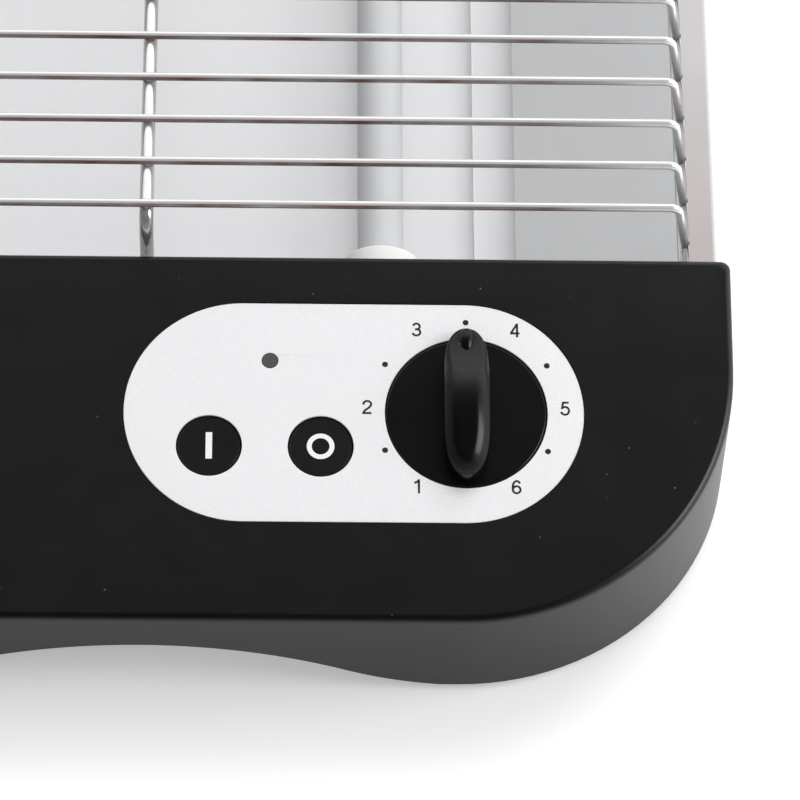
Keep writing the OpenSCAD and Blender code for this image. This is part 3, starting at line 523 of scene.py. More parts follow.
class Smoothing:
    """Shading of CAD solids: smooth over soft edges, sharp over hard ones, flat faces kept flat."""

    def __init__(self, limit_deg: float = 32.0) -> None:
        """Builds the node group that marks the sharp edges.

        Args:
            limit_deg: Angle between faces above which an edge stays sharp.
        """
        group = bpy.data.node_groups.new("smooth_by_edge_angle", "GeometryNodeTree")
        group.interface.new_socket("Geometry", in_out="INPUT", socket_type="NodeSocketGeometry")
        group.interface.new_socket("Geometry", in_out="OUTPUT", socket_type="NodeSocketGeometry")
        add = group.nodes.new
        source, result = add("NodeGroupInput"), add("NodeGroupOutput")
        angle, test = add("GeometryNodeInputMeshEdgeAngle"), add("FunctionNodeCompare")
        edges, faces = add("GeometryNodeSetShadeSmooth"), add("GeometryNodeSetShadeSmooth")
        test.data_type, test.operation = "FLOAT", "LESS_EQUAL"
        test.inputs[1].default_value = math.radians(limit_deg)
        edges.domain, faces.domain = "EDGE", "FACE"
        link = group.links.new
        link(source.outputs[0], faces.inputs["Geometry"])
        link(faces.outputs[0], edges.inputs["Geometry"])
        link(angle.outputs["Unsigned Angle"], test.inputs[0])
        link(test.outputs[0], edges.inputs["Shade Smooth"])
        link(edges.outputs[0], result.inputs[0])
        self.group = group

    def apply(self, obj: bpy.types.Object, edge_round: float = 0.0) -> None:
        """Adds the shading to an object as modifiers, with its split corners joined first.

        Args:
            obj: Object with a mesh.
            edge_round: Width by which hard edges are rounded, 0 for none.
        """
        obj.modifiers.new("join_corners", "WELD").merge_threshold = JOIN_GAP
        if edge_round:
            bevel = obj.modifiers.new("soft_edges", "BEVEL")
            bevel.width, bevel.segments = edge_round, 2
            bevel.limit_method, bevel.angle_limit = "ANGLE", math.radians(BEVEL_FROM_DEG)
        obj.modifiers.new("edge_angle", "NODES").node_group = self.group
        weighted = obj.modifiers.new("flat_faces", "WEIGHTED_NORMAL")
        weighted.keep_sharp = True
        weighted.mode = "FACE_AREA_WITH_ANGLE"


class Workshop:
    """Shared tools: finishes by name, CAD nodes by name, and new pieces that ride on a body."""

    def __init__(self) -> None:
        """Starts with no finishes made."""
        self.smoothing = Smoothing()
        self.made: dict[str, Material] = {}
        self.nodes: dict[str, bpy.types.Object] = frame["nodes"]

    def material(self, finish: Finish) -> Material:
        """Makes a finish's material once.

        Args:
            finish: The finish.

        Returns:
            Its material.
        """
        if finish.name not in self.made:
            self.made[finish.name] = finish.make()
        return self.made[finish.name]

    def dress(self, finish: Finish, *names: str, edge_round: float = 0.0) -> None:
        """Gives CAD nodes a finish, with their soft edges shaded smooth.

        Args:
            finish: Finish to use.
            names: Names of the nodes.
            edge_round: Width by which their hard edges are rounded, 0 for none.
        """
        for name in names:
            node = self.nodes[name]
            node.data.materials.clear()
            node.data.materials.append(self.material(finish))
            self.smoothing.apply(node, edge_round)
            LOG.info("dressed %s in %s", name, finish.name)

    def piece(self, name: str, mesh: bpy.types.Mesh, finish: Finish, slot: str, body: Body,
              smooth: bool = True) -> bpy.types.Object:
        """Makes a new piece that rides on a body.

        Args:
            name: Name of the piece.
            mesh: Its mesh, in the frame's axes.
            finish: Its finish.
            slot: Material slot of the record that it belongs to; not used.
            body: Body that it rides on.
            smooth: Whether its faces are shaded smooth.

        Returns:
            The new object.
        """
        mesh.materials.append(self.material(finish))
        obj = bpy.data.objects.new(name, mesh)
        bpy.context.scene.collection.objects.link(obj)
        for polygon in mesh.polygons:
            polygon.use_smooth = smooth
        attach(obj, body.value)
        LOG.info("made %s in %s", name, finish.name)
        return obj


@dataclass
class Assembly:
    """Pieces that belong together, and the finish that each of them gets."""

    shop: Workshop
    looks: Looks = ()

    def dress(self) -> None:
        """Dresses the pieces."""
        for finish, names in self.looks:
            self.shop.dress(finish, *names)


def mesh_from(builder: Builder, name: str) -> bpy.types.Mesh:
    """Turns a bmesh into a mesh with outward normals and frees it.

    Args:
        builder: The bmesh.
        name: Name of the mesh.

    Returns:
        The mesh.
    """
    bmesh.ops.recalc_face_normals(builder, faces=builder.faces)
    mesh = bpy.data.meshes.new(name)
    builder.to_mesh(mesh)
    builder.free()
    return mesh


def join_loops(builder: Builder, loops: list[Loop], ends: Ends = Ends.OPEN) -> None:
    """Lays quads between successive closed loops of vertices.

    Args:
        builder: The bmesh that takes them.
        loops: Loops with the same number of vertices.
        ends: What happens at the first and the last loop.
    """
    follow = loops[1:] + loops[:1] if ends is Ends.JOINED else loops[1:]
    for low, high in zip(loops, follow):
        for corners in zip(low, low[1:] + low[:1], high[1:] + high[:1], high):
            builder.faces.new(corners)
    if ends is Ends.CAPPED:
        builder.faces.new(loops[0])
        builder.faces.new(loops[-1])


def turned_loops(builder: Builder, profile: Sequence[tuple[float, float]], sides: int,
                 middle: Sequence[float] = (0.0, 0.0, 0.0)) -> list[Loop]:
    """Turns a profile round an axis along Z.

    Args:
        builder: The bmesh that takes the vertices.
        profile: Radius and height of each loop.
        sides: Number of vertices in a loop.
        middle: Foot of the axis.

    Returns:
        A loop of vertices for each point of the profile.
    """
    turns = [2 * math.pi * k / sides for k in range(sides)]
    foot = Vector(middle)
    return [[builder.verts.new(foot + Vector((r * math.cos(a), r * math.sin(a), z))) for a in turns]
            for r, z in profile]


def heading(path: Sequence[Vector], index: int) -> Vector:
    """Direction of a path at one of its points, by number."""
    return (path[min(index + 1, len(path) - 1)] - path[max(index - 1, 0)]).normalized()


def add_tube(builder: Builder, path: Sequence[Vector], radius: float, sides: int, first: Vector) -> None:
    """Adds a closed round bar along a path.

    Args:
        builder: The bmesh that takes it.
        path: Points of its axis.
        radius: Its radius.
        sides: Number of sides.
        first: Direction of each ring's first vertex, carried along the path.
    """
    side = first.copy()
    turns = [2 * math.pi * k / sides for k in range(sides)]
    rings = []
    for index, point in enumerate(path):
        ahead = heading(path, index)
        side = (side - ahead * side.dot(ahead)).normalized()
        across = ahead.cross(side)
        spokes = [math.cos(a) * side + math.sin(a) * across for a in turns]
        rings.append([builder.verts.new(point + radius * spoke) for spoke in spokes])
    join_loops(builder, rings)
    for ring, beyond in ((rings[0], path[0] - path[1]), (rings[-1], path[-1] - path[-2])):
        middle = sum((vertex.co for vertex in ring), Vector()) / sides
        tip = builder.verts.new(middle + beyond.normalized() * radius * TIP_BULGE)
        for here, there in zip(ring, ring[1:] + ring[:1]):
            builder.faces.new((here, there, tip))


def add_ribbon(builder: Builder, path: Sequence[Vector], width: float, height: float) -> None:
    """Adds a flat printed stroke along a path in X and Y.

    Args:
        builder: The bmesh that takes it.
        path: Points of its middle line.
        width: Width of the stroke.
        height: Thickness of the ink.
    """
    rise = Vector((0, 0, height))
    rings = []
    for index, point in enumerate(path):
        ahead = heading(path, index)
        aside = Vector((-ahead.y, ahead.x, 0)) * width / 2
        corners = (point + aside, point - aside, point - aside + rise, point + aside + rise)
        rings.append([builder.verts.new(corner) for corner in corners])
    join_loops(builder, rings, Ends.CAPPED)


def bow(x: float, y: float, wide: float, tall: float, start_deg: float, stop_deg: float) -> Stroke:
    """Points of an elliptical arc.

    Args:
        x: Middle of the ellipse across.
        y: Middle of the ellipse up.
        wide: Half width.
        tall: Half height.
        start_deg: Angle where the arc starts.
        stop_deg: Angle where it stops.

    Returns:
        The points, about one arc step apart.
    """
    steps = max(2, round(abs(stop_deg - start_deg) / ARC_STEP_DEG))
    turns = [math.radians(start_deg + (stop_deg - start_deg) * k / steps) for k in range(steps + 1)]
    return tuple((x + wide * math.cos(a), y + tall * math.sin(a)) for a in turns)


class Digit(Enum):
    """Strokes of the dial's plain digits, in a box one unit high."""

    ONE = (((0.33, 0.0), (0.33, 1.0)), ((0.09, 0.75), (0.2, 0.79), (0.29, 0.87), (0.33, 0.99)))
    TWO = (bow(0.27, 0.70, 0.205, 0.235, 188, -25) + ((0.36, 0.46), (0.21, 0.32), (0.11, 0.2), (0.075, 0.06)),
           ((0.01, 0.065), (0.49, 0.065)))
    THREE = (bow(0.26, 0.725, 0.175, 0.21, 168, -90) + ((0.19, 0.515),),
             ((0.19, 0.525),) + bow(0.26, 0.297, 0.205, 0.23, 90, -168))
    FOUR = (((0.37, 0.0), (0.37, 1.0)), ((0.36, 0.95), (0.05, 0.3)), ((0.0, 0.285), (0.5, 0.285)))
    FIVE = (((0.13, 0.935), (0.46, 0.935)), ((0.16, 0.97), (0.1, 0.46)),
            bow(0.26, 0.345, 0.21, 0.28, 145, -165))
    SIX = (bow(0.265, 0.315, 0.2, 0.25, 180, -180), bow(0.275, 0.50, 0.21, 0.435, 36, 205))


@dataclass
class PanelPlane:
    """The sloping plane of the control panel, with its directions across, up and out."""

    tilt_deg: float = 8.0
    plate: float = 0.6 * MM
    centre: Vector = field(init=False)
    across: Vector = field(init=False)
    up: Vector = field(init=False)
    out: Vector = field(init=False)

    def __post_init__(self) -> None:
        """Finds the middle of the panel's face from its box."""
        tilt = math.radians(self.tilt_deg)
        self.across = Vector((1, 0, 0))
        self.up = Vector((0, math.cos(tilt), math.sin(tilt)))
        self.out = Vector((0, -math.sin(tilt), math.cos(tilt)))
        low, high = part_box("control_panel")
        self.centre = (low + high) / 2 + self.out * self.plate / 2

    def matrix(self, origin: Vector) -> Matrix:
        """Matrix that carries a drawing in X and Y onto the plane, with its origin at a point."""
        rows = Matrix((self.across, self.up, self.out)).transposed().to_4x4()
        return Matrix.Translation(origin) @ rows

    def under(self, node: str, height: float) -> Vector:
        """Point of a node's own axis at a height above the panel's face.

        Args:
            node: Round node whose axis stands square to the panel.
            height: Height above the face.

        Returns:
            The point.
        """
        low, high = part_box(node)
        middle = (low + high) / 2
        return middle + self.out * (height - (middle - self.centre).dot(self.out))


@dataclass
class EndHousings(Assembly):
    """Black moulded housings at both ends, their base covers, feet, screws and cord gland."""

    looks: Looks = (
        (MouldedPlastic("housing_black", (0.0014, 0.0012, 0.0014), 0.34, 0.62, dust=0.06),
         ("control_housing", "rear_housing")),
        (MouldedPlastic("base_black", (0.016, 0.016, 0.017), 0.6, grain_scale=1500.0),
         ("control_base", "rear_base")),
        (MouldedPlastic("foot_rubber", (0.014, 0.014, 0.014), 0.78, 0.2, 900.0), ("rubber_feet",)),
        (MouldedPlastic("gland_black", (0.018, 0.018, 0.019), 0.65, grain_scale=1200.0), ("cord_gland",)),
        (BrightMetal("screw_zinc", (0.55, 0.55, 0.57), 0.3, Grain.ALONG_X, 1600.0),
         ("base_screws", "body_screws", "board_screws")))


@dataclass
class ControlPanel:
    """Silver panel with its printed scale, the lamp, and the two buttons with their symbols."""

    shop: Workshop
    plane: PanelPlane
    edge_round: float = 0.15 * MM
    scale_rise: float = 1.2 * MM
    scale_r: float = 20.9 * MM
    dot_ring_r: float = 19.8 * MM
    dot_r: float = 0.63 * MM
    digit_h: float = 3.2 * MM
    digit_wide: float = 1.25
    stroke: float = 0.14
    ink_t: float = 0.03 * MM
    dial_first_deg: float = -150.0
    dial_step_deg: float = 60.0
    dot_sides: int = 24
    bar_w: float = 1.36 * MM
    bar_h: float = 6.05 * MM
    ring_outer: float = 2.92 * MM
    ring_inner: float = 1.87 * MM
    ring_sides: int = 48
    silver: Finish = SatinSilver("panel_silver", (0.925, 0.925, 0.94))
    button: Finish = MouldedPlastic("button_black", (0.0042, 0.0042, 0.0046), 0.4, 0.33, dust=0.04)
    lens: Finish = TintedClear("lens_grey", (0.10, 0.10, 0.105))
    dark_ink: Finish = PrintedInk("scale_ink", (0.016, 0.016, 0.017))
    white_ink: Finish = PrintedInk("symbol_ink", (0.90, 0.90, 0.90))

    def dress(self) -> None:
        """Dresses the panel and its controls and prints their marks."""
        self.shop.dress(self.silver, "control_panel", edge_round=self.edge_round)
        self.shop.dress(self.button, "start_button", "stop_button")
        self.shop.dress(self.lens, "indicator_lens")
        self.print_scale()
        self.print_symbols()

    def dial_spot(self, step: float, radius: float) -> Vector:
        """Place in the drawing of the scale, by steps of the dial from the first digit."""
        turn = math.radians(self.dial_first_deg + self.dial_step_deg * step)
        return Vector((math.sin(turn), math.cos(turn), 0)) * radius

    def print_scale(self) -> None:
        """Prints the digits and the dots round the knob."""
        middle = self.plane.under("timer_shaft", 0.0) + self.plane.up * self.scale_rise
        onto_panel = self.plane.matrix(middle)
        marks = {}
        builder = bmesh.new()
        for number, digit in enumerate(Digit):
            marks[f"scale_digit_{number + 1}"] = mesh = self.glyph(digit)
            mesh.transform(Matrix.Translation(self.dial_spot(number, self.scale_r)))
            if number:
                spot = self.dial_spot(number - 0.5, self.dot_ring_r)
                self.add_disc(builder, spot, self.dot_r, 0.0, self.dot_sides)
        marks["scale_dots"] = mesh_from(builder, "scale_dots")
        for name, mesh in marks.items():
            mesh.transform(onto_panel)
            self.shop.piece(name, mesh, self.dark_ink, "panel_silver", Body.TOASTER, False)

    def glyph(self, digit: Digit) -> bpy.types.Mesh:
        """Flat mesh of one digit, middled on its own outline.

        Args:
            digit: The digit.

        Returns:
            The mesh, at the scale's digit height.
        """
        builder = bmesh.new()
        for path in digit.value:
            points = [Vector((x * self.digit_wide, y, 0)) for x, y in path]
            add_ribbon(builder, points, self.stroke, self.ink_t / self.digit_h)
        across = [v.co.x for v in builder.verts]
        mesh = mesh_from(builder, "digit")
        middle = Vector(((min(across) + max(across)) / 2, 0.5, 0))
        mesh.transform(Matrix.Scale(self.digit_h, 4) @ Matrix.Translation(-middle))
        return mesh

    def add_disc(self, builder: Builder, spot: Vector, outer: float, inner: float, sides: int) -> None:
        """Adds a thin printed disc or ring.

        Args:
            builder: The bmesh that takes it.
            spot: Its middle.
            outer: Its outer radius.
            inner: Its inner radius, 0 for a disc.
            sides: Number of sides.
        """
        profile = [(outer, 0.0), (outer, self.ink_t)]
        if inner:
            profile += [(inner, self.ink_t), (inner, 0.0)]
        loops = turned_loops(builder, profile, sides, spot)
        join_loops(builder, loops, Ends.JOINED if inner else Ends.CAPPED)

    def print_symbols(self) -> None:
        """Prints the line on the start button and the ring on the stop button."""
        builder = bmesh.new()
        half, tall = self.bar_w / 2, self.bar_h / 2
        outline = [(-half, -tall), (half, -tall), (half, tall), (-half, tall)]
        loops = [[builder.verts.new((x, y, z)) for x, y in outline] for z in (0.0, self.ink_t)]
        join_loops(builder, loops, Ends.CAPPED)
        line = mesh_from(builder, "start_line")
        builder = bmesh.new()
        self.add_disc(builder, Vector(), self.ring_outer, self.ring_inner, self.ring_sides)
        ring = mesh_from(builder, "stop_ring")
        for mesh, node, body in ((line, "start_button", Body.START), (ring, "stop_button", Body.STOP)):
            corners = [vertex.co for vertex in self.shop.nodes[node].data.vertices]
            face = max((corner - self.plane.centre).dot(self.plane.out) for corner in corners)
            mesh.transform(self.plane.matrix(self.plane.under(node.replace("button", "plunger"), face)))
            self.shop.piece(mesh.name, mesh, self.white_ink, "button_black", body, False)


@dataclass
class TimerKnob:
    """Timer knob: a flush disc, a grip bar with sloped shoulders and a scooped nose, and an oval pip."""

    shop: Workshop
    plane: PanelPlane
    disc_r: float = 16.9 * MM
    disc_top: float = 0.0
    disc_foot: float = -0.9 * MM
    disc_ease: float = 0.4 * MM
    disc_sides: int = 160
    grip_h: float = 8.0 * MM
    grip_half: float = 4.85 * MM
    grip_power: float = 4.6
    grip_steps: int = 56
    nose: float = 18.4 * MM
    tail: float = 15.8 * MM
    nose_h: float = 4.1 * MM
    nose_gap: float = 0.3 * MM
    root_share: float = 0.98
    sink: float = 0.1 * MM
    crown_r: float = 46.0 * MM
    scoop_r: float = 13.0 * MM
    scoop_set: float = 2.4 * MM
    melt: float = 0.9 * MM
    shoulder_w: float = 3.4 * MM
    shoulder_drop: float = 2.2 * MM
    shoulder_power: float = 1.9
    shoulder_rows: int = 10
    shoulder_first: float = 0.03
    fade_least: float = 0.35
    fade_end: float = 14.0 * MM
    fade_l: float = 8.0 * MM
    pip: tuple[float, float, float] = (1.5 * MM, 2.8 * MM, 1.2 * MM)
    pip_set: float = 3.3 * MM
    finish: Finish = MouldedPlastic("knob_black", (0.0024, 0.0024, 0.0026), 0.25, 0.42,
                                    grain_depth=0.008 * MM, dust=0.03)

    def dress(self) -> None:
        """Makes the knob in the place of the CAD one."""
        builder = bmesh.new()
        self.add_disc(builder)
        self.add_grip(builder)
        along = self.nose - self.pip_set
        place = Matrix.Translation((0, along, self.top_at(along) - self.sink))
        bmesh.ops.create_uvsphere(builder, u_segments=32, v_segments=20, radius=1.0,
                                  matrix=place @ Matrix.Diagonal((*self.pip, 1)))
        mesh = mesh_from(builder, "timer_knob_form")
        mesh.transform(self.plane.matrix(self.plane.under("timer_shaft", 0.0)))
        knob = self.shop.piece("timer_knob_form", mesh, self.finish, "knob_black", Body.TIMER)
        self.shop.smoothing.apply(knob)
        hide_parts("timer_knob")

    def add_disc(self, builder: Builder) -> None:
        """Adds the disc, turned from a profile with a rounded edge.

        Args:
            builder: The bmesh that takes it.
        """
        ease = self.disc_ease
        inset, top = self.disc_r - ease, self.disc_top - ease
        rim = [(inset + ease * math.cos(a), top + ease * math.sin(a)) for a in QUARTER_TURN]
        profile = [(inset, self.disc_foot), (self.disc_r, self.disc_foot + ease / 2)] + rim
        join_loops(builder, turned_loops(builder, profile, self.disc_sides), Ends.CAPPED)

    def top_at(self, along: float) -> float:
        """Height of the grip's top above the panel.

        Args:
            along: Place along the grip from the axis, towards the nose.

        Returns:
            The height, with the crown melting into the scoop.
        """
        crown = self.grip_h + math.sqrt(self.crown_r ** 2 - along ** 2) - self.crown_r
        off = along - (self.nose - self.scoop_set)
        dip = self.nose_h + self.scoop_r - math.sqrt(max(self.scoop_r ** 2 - off ** 2, 0.0))
        soft = math.exp(-crown / self.melt) + math.exp(-dip / self.melt)
        return self.disc_top - self.melt * math.log(soft)

    def shoulder_share(self, along: float) -> float:
        """Share of the full shoulder slope at a place along the grip, which fades towards the nose."""
        rise = (1 - self.fade_least) * (self.fade_end - along) / self.fade_l
        return min(1.0, max(self.fade_least, self.fade_least + rise))

    def add_grip(self, builder: Builder) -> None:
        """Adds the grip bar as rings that step in from its outline to its top.

        Args:
            builder: The bmesh that takes it.
        """
        middle, reach = (self.nose - self.tail) / 2, (self.nose + self.tail) / 2
        count, first = self.shoulder_rows, self.shoulder_first
        shares = [first + (1 - first) * k / count for k in range(count + 1)]
        drops = [self.shoulder_drop * (1 - share) ** self.shoulder_power for share in shares]
        shoulder = [(self.shoulder_w * share, drop) for share, drop in zip(shares, drops)]
        foot, lip = self.disc_top - self.sink, self.disc_top + self.nose_gap
        rows = []
        for step in range(2 * self.grip_steps):
            share = math.sin(math.pi * step / self.grip_steps - math.pi / 2)
            half = self.grip_half * math.sqrt(max(1 - abs(share) ** self.grip_power, 0.0))
            side = half if step <= self.grip_steps else -half
            edge = middle + reach * share
            root = (self.root_share * side, min(edge, self.disc_r - 2 * self.nose_gap))
            row = [(*root, foot), (*root, lip), (side, edge, lip)]
            ease = self.shoulder_share(edge)
            for inset, drop in shoulder:
                along = middle + (reach - ease * inset) * share
                across = side * (1 - ease * inset / self.grip_half)
                row.append((across, along, self.top_at(along) - ease * drop))
            rows.append([builder.verts.new(place) for place in row])
        loops = [list(level) for level in zip(*rows)]
        join_loops(builder, loops)
        builder.faces.new(loops[0])
        top, end = loops[-1], self.grip_steps
        for k in range(1, end - 1):
            builder.faces.new((top[k], top[k + 1], top[-k - 1], top[-k]))
        builder.faces.new((top[0], top[1], top[-1]))
        builder.faces.new((top[end - 1], top[end], top[end + 1]))


@dataclass
class Trough(Assembly):
    """Steel trough: side panels, floor, end plates, reflectors and crumb tray."""

    looks: Looks = (
        (BrightMetal("trough_steel", (0.72, 0.705, 0.71), 0.24, Grain.ALONG_Y, tint_share=1.0),
         ("left_side_panel", "right_side_panel")),
        (BrightMetal("reflector_steel", (0.85, 0.86, 0.86), 0.31, Grain.ALONG_Y, 300.0),
         ("front_end_plate", "rear_end_plate", "left_reflector", "right_reflector")),
        (BrightMetal("tray_steel", (0.94, 0.945, 0.955), 0.32, Grain.ALONG_Y, 300.0,
                     metallic=0.5, relief=0.004), ("bottom_plate", "crumb_tray")))


@dataclass
class Rack:
    """Cross wires drawn smooth, the middle rod, and the welds where they meet."""

    shop: Workshop
    pitch: float = 11.0 * MM
    wire_r: float = 0.9 * MM
    half: float = 111.4 * MM
    bend: float = 2.4 * MM
    lean_deg: float = 9.5
    sides: int = 16
    bend_steps: int = 10
    foot_share: float = 1.3
    weld: tuple[float, float, float] = (1.25 * MM, 1.15 * MM, 0.75 * MM)
    weld_swell: float = 0.12
    weld_stray: float = 0.1 * MM
    swell_turn: float = 2.4
    stray_turn: float = 1.7
    # Both finishes darken the underside with painted shade: brown on the wires, partly heat tint; grey on the
    # rod.
    chrome: Finish = HeatTintAndShadeChrome("rack_chrome")
    bar: Finish = HeatTintAndShadeChrome("rod_chrome", under_tint_and_shade=(0.5, 0.49, 0.49), metallic=0.75, roughness=0.15)

    def dress(self) -> None:
        """Makes the wires and the welds, and dresses the rod."""
        low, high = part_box("rack_wires")
        top = high.z - self.wire_r
        first, last = low.y + self.wire_r, high.y - self.wire_r
        gaps = round((last - first) / self.pitch)
        builder, beads = bmesh.new(), bmesh.new()
        for index in range(gaps + 1):
            y = first + (last - first) * index / gaps
            add_tube(builder, self.path(y, top, low.z), self.wire_r, self.sides, Vector((0, 1, 0)))
            self.add_weld(beads, y, top, index)
        mesh = mesh_from(builder, "rack_cross_wires")
        wires = self.shop.piece("rack_cross_wires", mesh, self.chrome, "rack_chrome", Body.TOASTER)
        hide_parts("rack_wires")
        mesh = mesh_from(beads, "rack_welds")
        self.shop.piece("rack_welds", mesh, self.chrome, "rack_chrome", Body.TOASTER)
        self.shop.dress(self.bar, "rack_rod")

    def path(self, y: float, top: float, foot: float) -> list[Vector]:
        """Axis of one cross wire from leg to leg.

        Args:
            y: Its place along the toaster.
            top: Height of its straight top.
            foot: Height of the lowest point of its legs.

        Returns:
            The points of the axis.
        """
        lean = math.radians(self.lean_deg)
        arc = []
        for step in range(self.bend_steps + 1):
            turn = lean + (math.pi / 2 - lean) * step / self.bend_steps
            rise = top - self.bend + self.bend * math.sin(turn)
            arc.append((self.half + self.bend * math.cos(turn), rise))
        reach = foot + self.wire_r * self.foot_share
        leg = (arc[0][0] + (arc[0][1] - reach) * math.tan(lean), reach)
        right = [leg] + arc
        return [Vector((-x, y, z)) for x, z in right] + [Vector((x, y, z)) for x, z in reversed(right)]

    def add_weld(self, builder: Builder, y: float, top: float, index: int) -> None:
        """Adds the small weld between a wire and the rod.

        Args:
            builder: The bmesh that takes it.
            y: Place of the wire along the toaster.
            top: Height of the wire's axis.
            index: Number of the wire, which varies the weld a little.
        """
        wide, long, tall = self.weld
        swell = 1.0 + self.weld_swell * math.sin(index * self.swell_turn)
        stray = self.weld_stray * math.sin(index * self.stray_turn)
        size = Matrix.Diagonal((wide * swell, long * swell, tall, 1))
        place = Matrix.Translation((stray, y, top - self.wire_r))
        bmesh.ops.create_uvsphere(builder, u_segments=16, v_segments=10, radius=1.0, matrix=place @ size)


@dataclass
class HeatingTubes(Assembly):
    """Quartz tubes with their coils, ceramic caps, terminals and leads."""

    tube_r: float = 5.0 * MM
    tube_gap: float = 0.1 * MM
    mouth_l: float = 1.5 * MM
    mouth_lap: float = 3.0 * MM
    mouth_over: float = 0.05 * MM
    mouth_round: float = 0.9 * MM
    mouth_sides: int = 64
    caps: tuple[str, ...] = ("front_left_cap", "front_right_cap", "rear_left_cap", "rear_right_cap")
    ceramic: Finish = FiredCeramic("ceramic_white")
    looks: Looks = (
        (MilkyQuartz("quartz_milky", (0.66, 0.67, 0.685)), ("left_quartz_tube", "right_quartz_tube")),
        (BrightMetal("resistance_wire", (0.36, 0.33, 0.30), 0.45, Grain.ALONG_Y),
         ("left_heating_coil", "right_heating_coil")),
        (BrightMetal("terminal_brass", (0.78, 0.62, 0.28), 0.3, Grain.ALONG_Y),
         ("front_terminals", "rear_terminals")),
        (MouldedPlastic("lead_red", (0.42, 0.05, 0.035), 0.6, grain_scale=1200.0),
         ("front_leads", "rear_jumper")))

    def dress(self) -> None:
        """Dresses the tubes and what they hold, and adds the mouths of the caps."""
        super().dress()
        self.shop.dress(self.ceramic, *self.caps, "thermal_cutout")
        for name in self.caps:
            self.add_mouth(name)

    def add_mouth(self, name: str) -> None:
        """Adds the rounded mouth of a ceramic cap round its tube.

        Args:
            name: Name of the cap's node.
        """
        low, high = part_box(name)
        outer = (high.x - low.x) / 2 + self.mouth_over
        inner = self.tube_r + self.tube_gap
        inset, far = outer - self.mouth_round, self.mouth_l - self.mouth_round
        curve = [(inset + self.mouth_round * math.cos(a), far + self.mouth_round * math.sin(a))
                 for a in QUARTER_TURN]
        profile = [(inner, -self.mouth_lap), (outer, -self.mouth_lap)] + curve + [(inner, self.mouth_l)]
        builder = bmesh.new()
        join_loops(builder, turned_loops(builder, profile, self.mouth_sides), Ends.JOINED)
        mesh = mesh_from(builder, f"{name}_mouth")
        front = name.startswith("front")
        place = Vector(((low.x + high.x) / 2, high.y if front else low.y, (low.z + high.z) / 2))
        quarter = math.radians(-90 if front else 90)
        mesh.transform(Matrix.Translation(place) @ Matrix.Rotation(quarter, 4, "X"))
        mouth = self.shop.piece(mesh.name, mesh, self.ceramic, "ceramic_white", Body.TOASTER)
        self.shop.smoothing.apply(mouth)


@dataclass
class Electronics(Assembly):
    """Board, switches and other parts inside the control housing."""

    looks: Looks = (
        (MouldedPlastic("board_green", (0.03, 0.20, 0.075), 0.4, grain_scale=700.0), ("control_board",)),
        (MouldedPlastic("component_blue", (0.05, 0.11, 0.32), 0.45), ("timer_potentiometer", "power_relay")),
        (MouldedPlastic("component_black", (0.03, 0.03, 0.033)), ("start_switch", "stop_switch")),
        (MouldedPlastic("component_yellow", (0.55, 0.36, 0.05), 0.3), ("suppression_capacitor",)),
        (MouldedPlastic("terminal_green", (0.05, 0.27, 0.10), 0.35), ("terminal_block",)),
        (MouldedPlastic("plunger_red", (0.45, 0.06, 0.045), 0.45), ("start_plunger", "stop_plunger")),
        (TintedClear("led_red", (0.50, 0.05, 0.04), 0.4), ("indicator_led",)),
        (BrightMetal("shaft_steel", (0.62, 0.62, 0.64), 0.28, Grain.ALONG_Z), ("timer_shaft",)))


@dataclass(frozen=True)
class Softbox:
    """A square soft lamp, the place it is turned to and whether metal mirrors it."""

    name: str
    place: tuple[float, float, float]
    aim: tuple[float, float, float]
    size: float
    power: float
    mirrored: bool

    def hang(self) -> None:
        """Hangs the lamp in the scene."""
        data = bpy.data.lights.new(self.name, "AREA")
        data.shape, data.size, data.energy = "SQUARE", self.size, self.power
        lamp = bpy.data.objects.new(self.name, data)
        lamp.visible_glossy = self.mirrored
        bpy.context.scene.collection.objects.link(lamp)
        turn = (Vector(self.place) - Vector(self.aim)).to_track_quat("Z", "Y")
        lamp.matrix_world = Matrix.Translation(self.place) @ turn.to_matrix().to_4x4()


@dataclass(frozen=True)
class Ramp:
    """Smooth change of the room's brightness along one axis of the direction."""

    axis: Axis
    start: float
    stop: float
    low: float
    high: float

    def build(self, nodes: Nodes, way: Socket) -> Socket:
        """Value of the ramp for a direction."""
        place = nodes.axis(way, self.axis)
        return nodes.spread(place, self.low, self.high, self.start, self.stop, Course.SMOOTH)


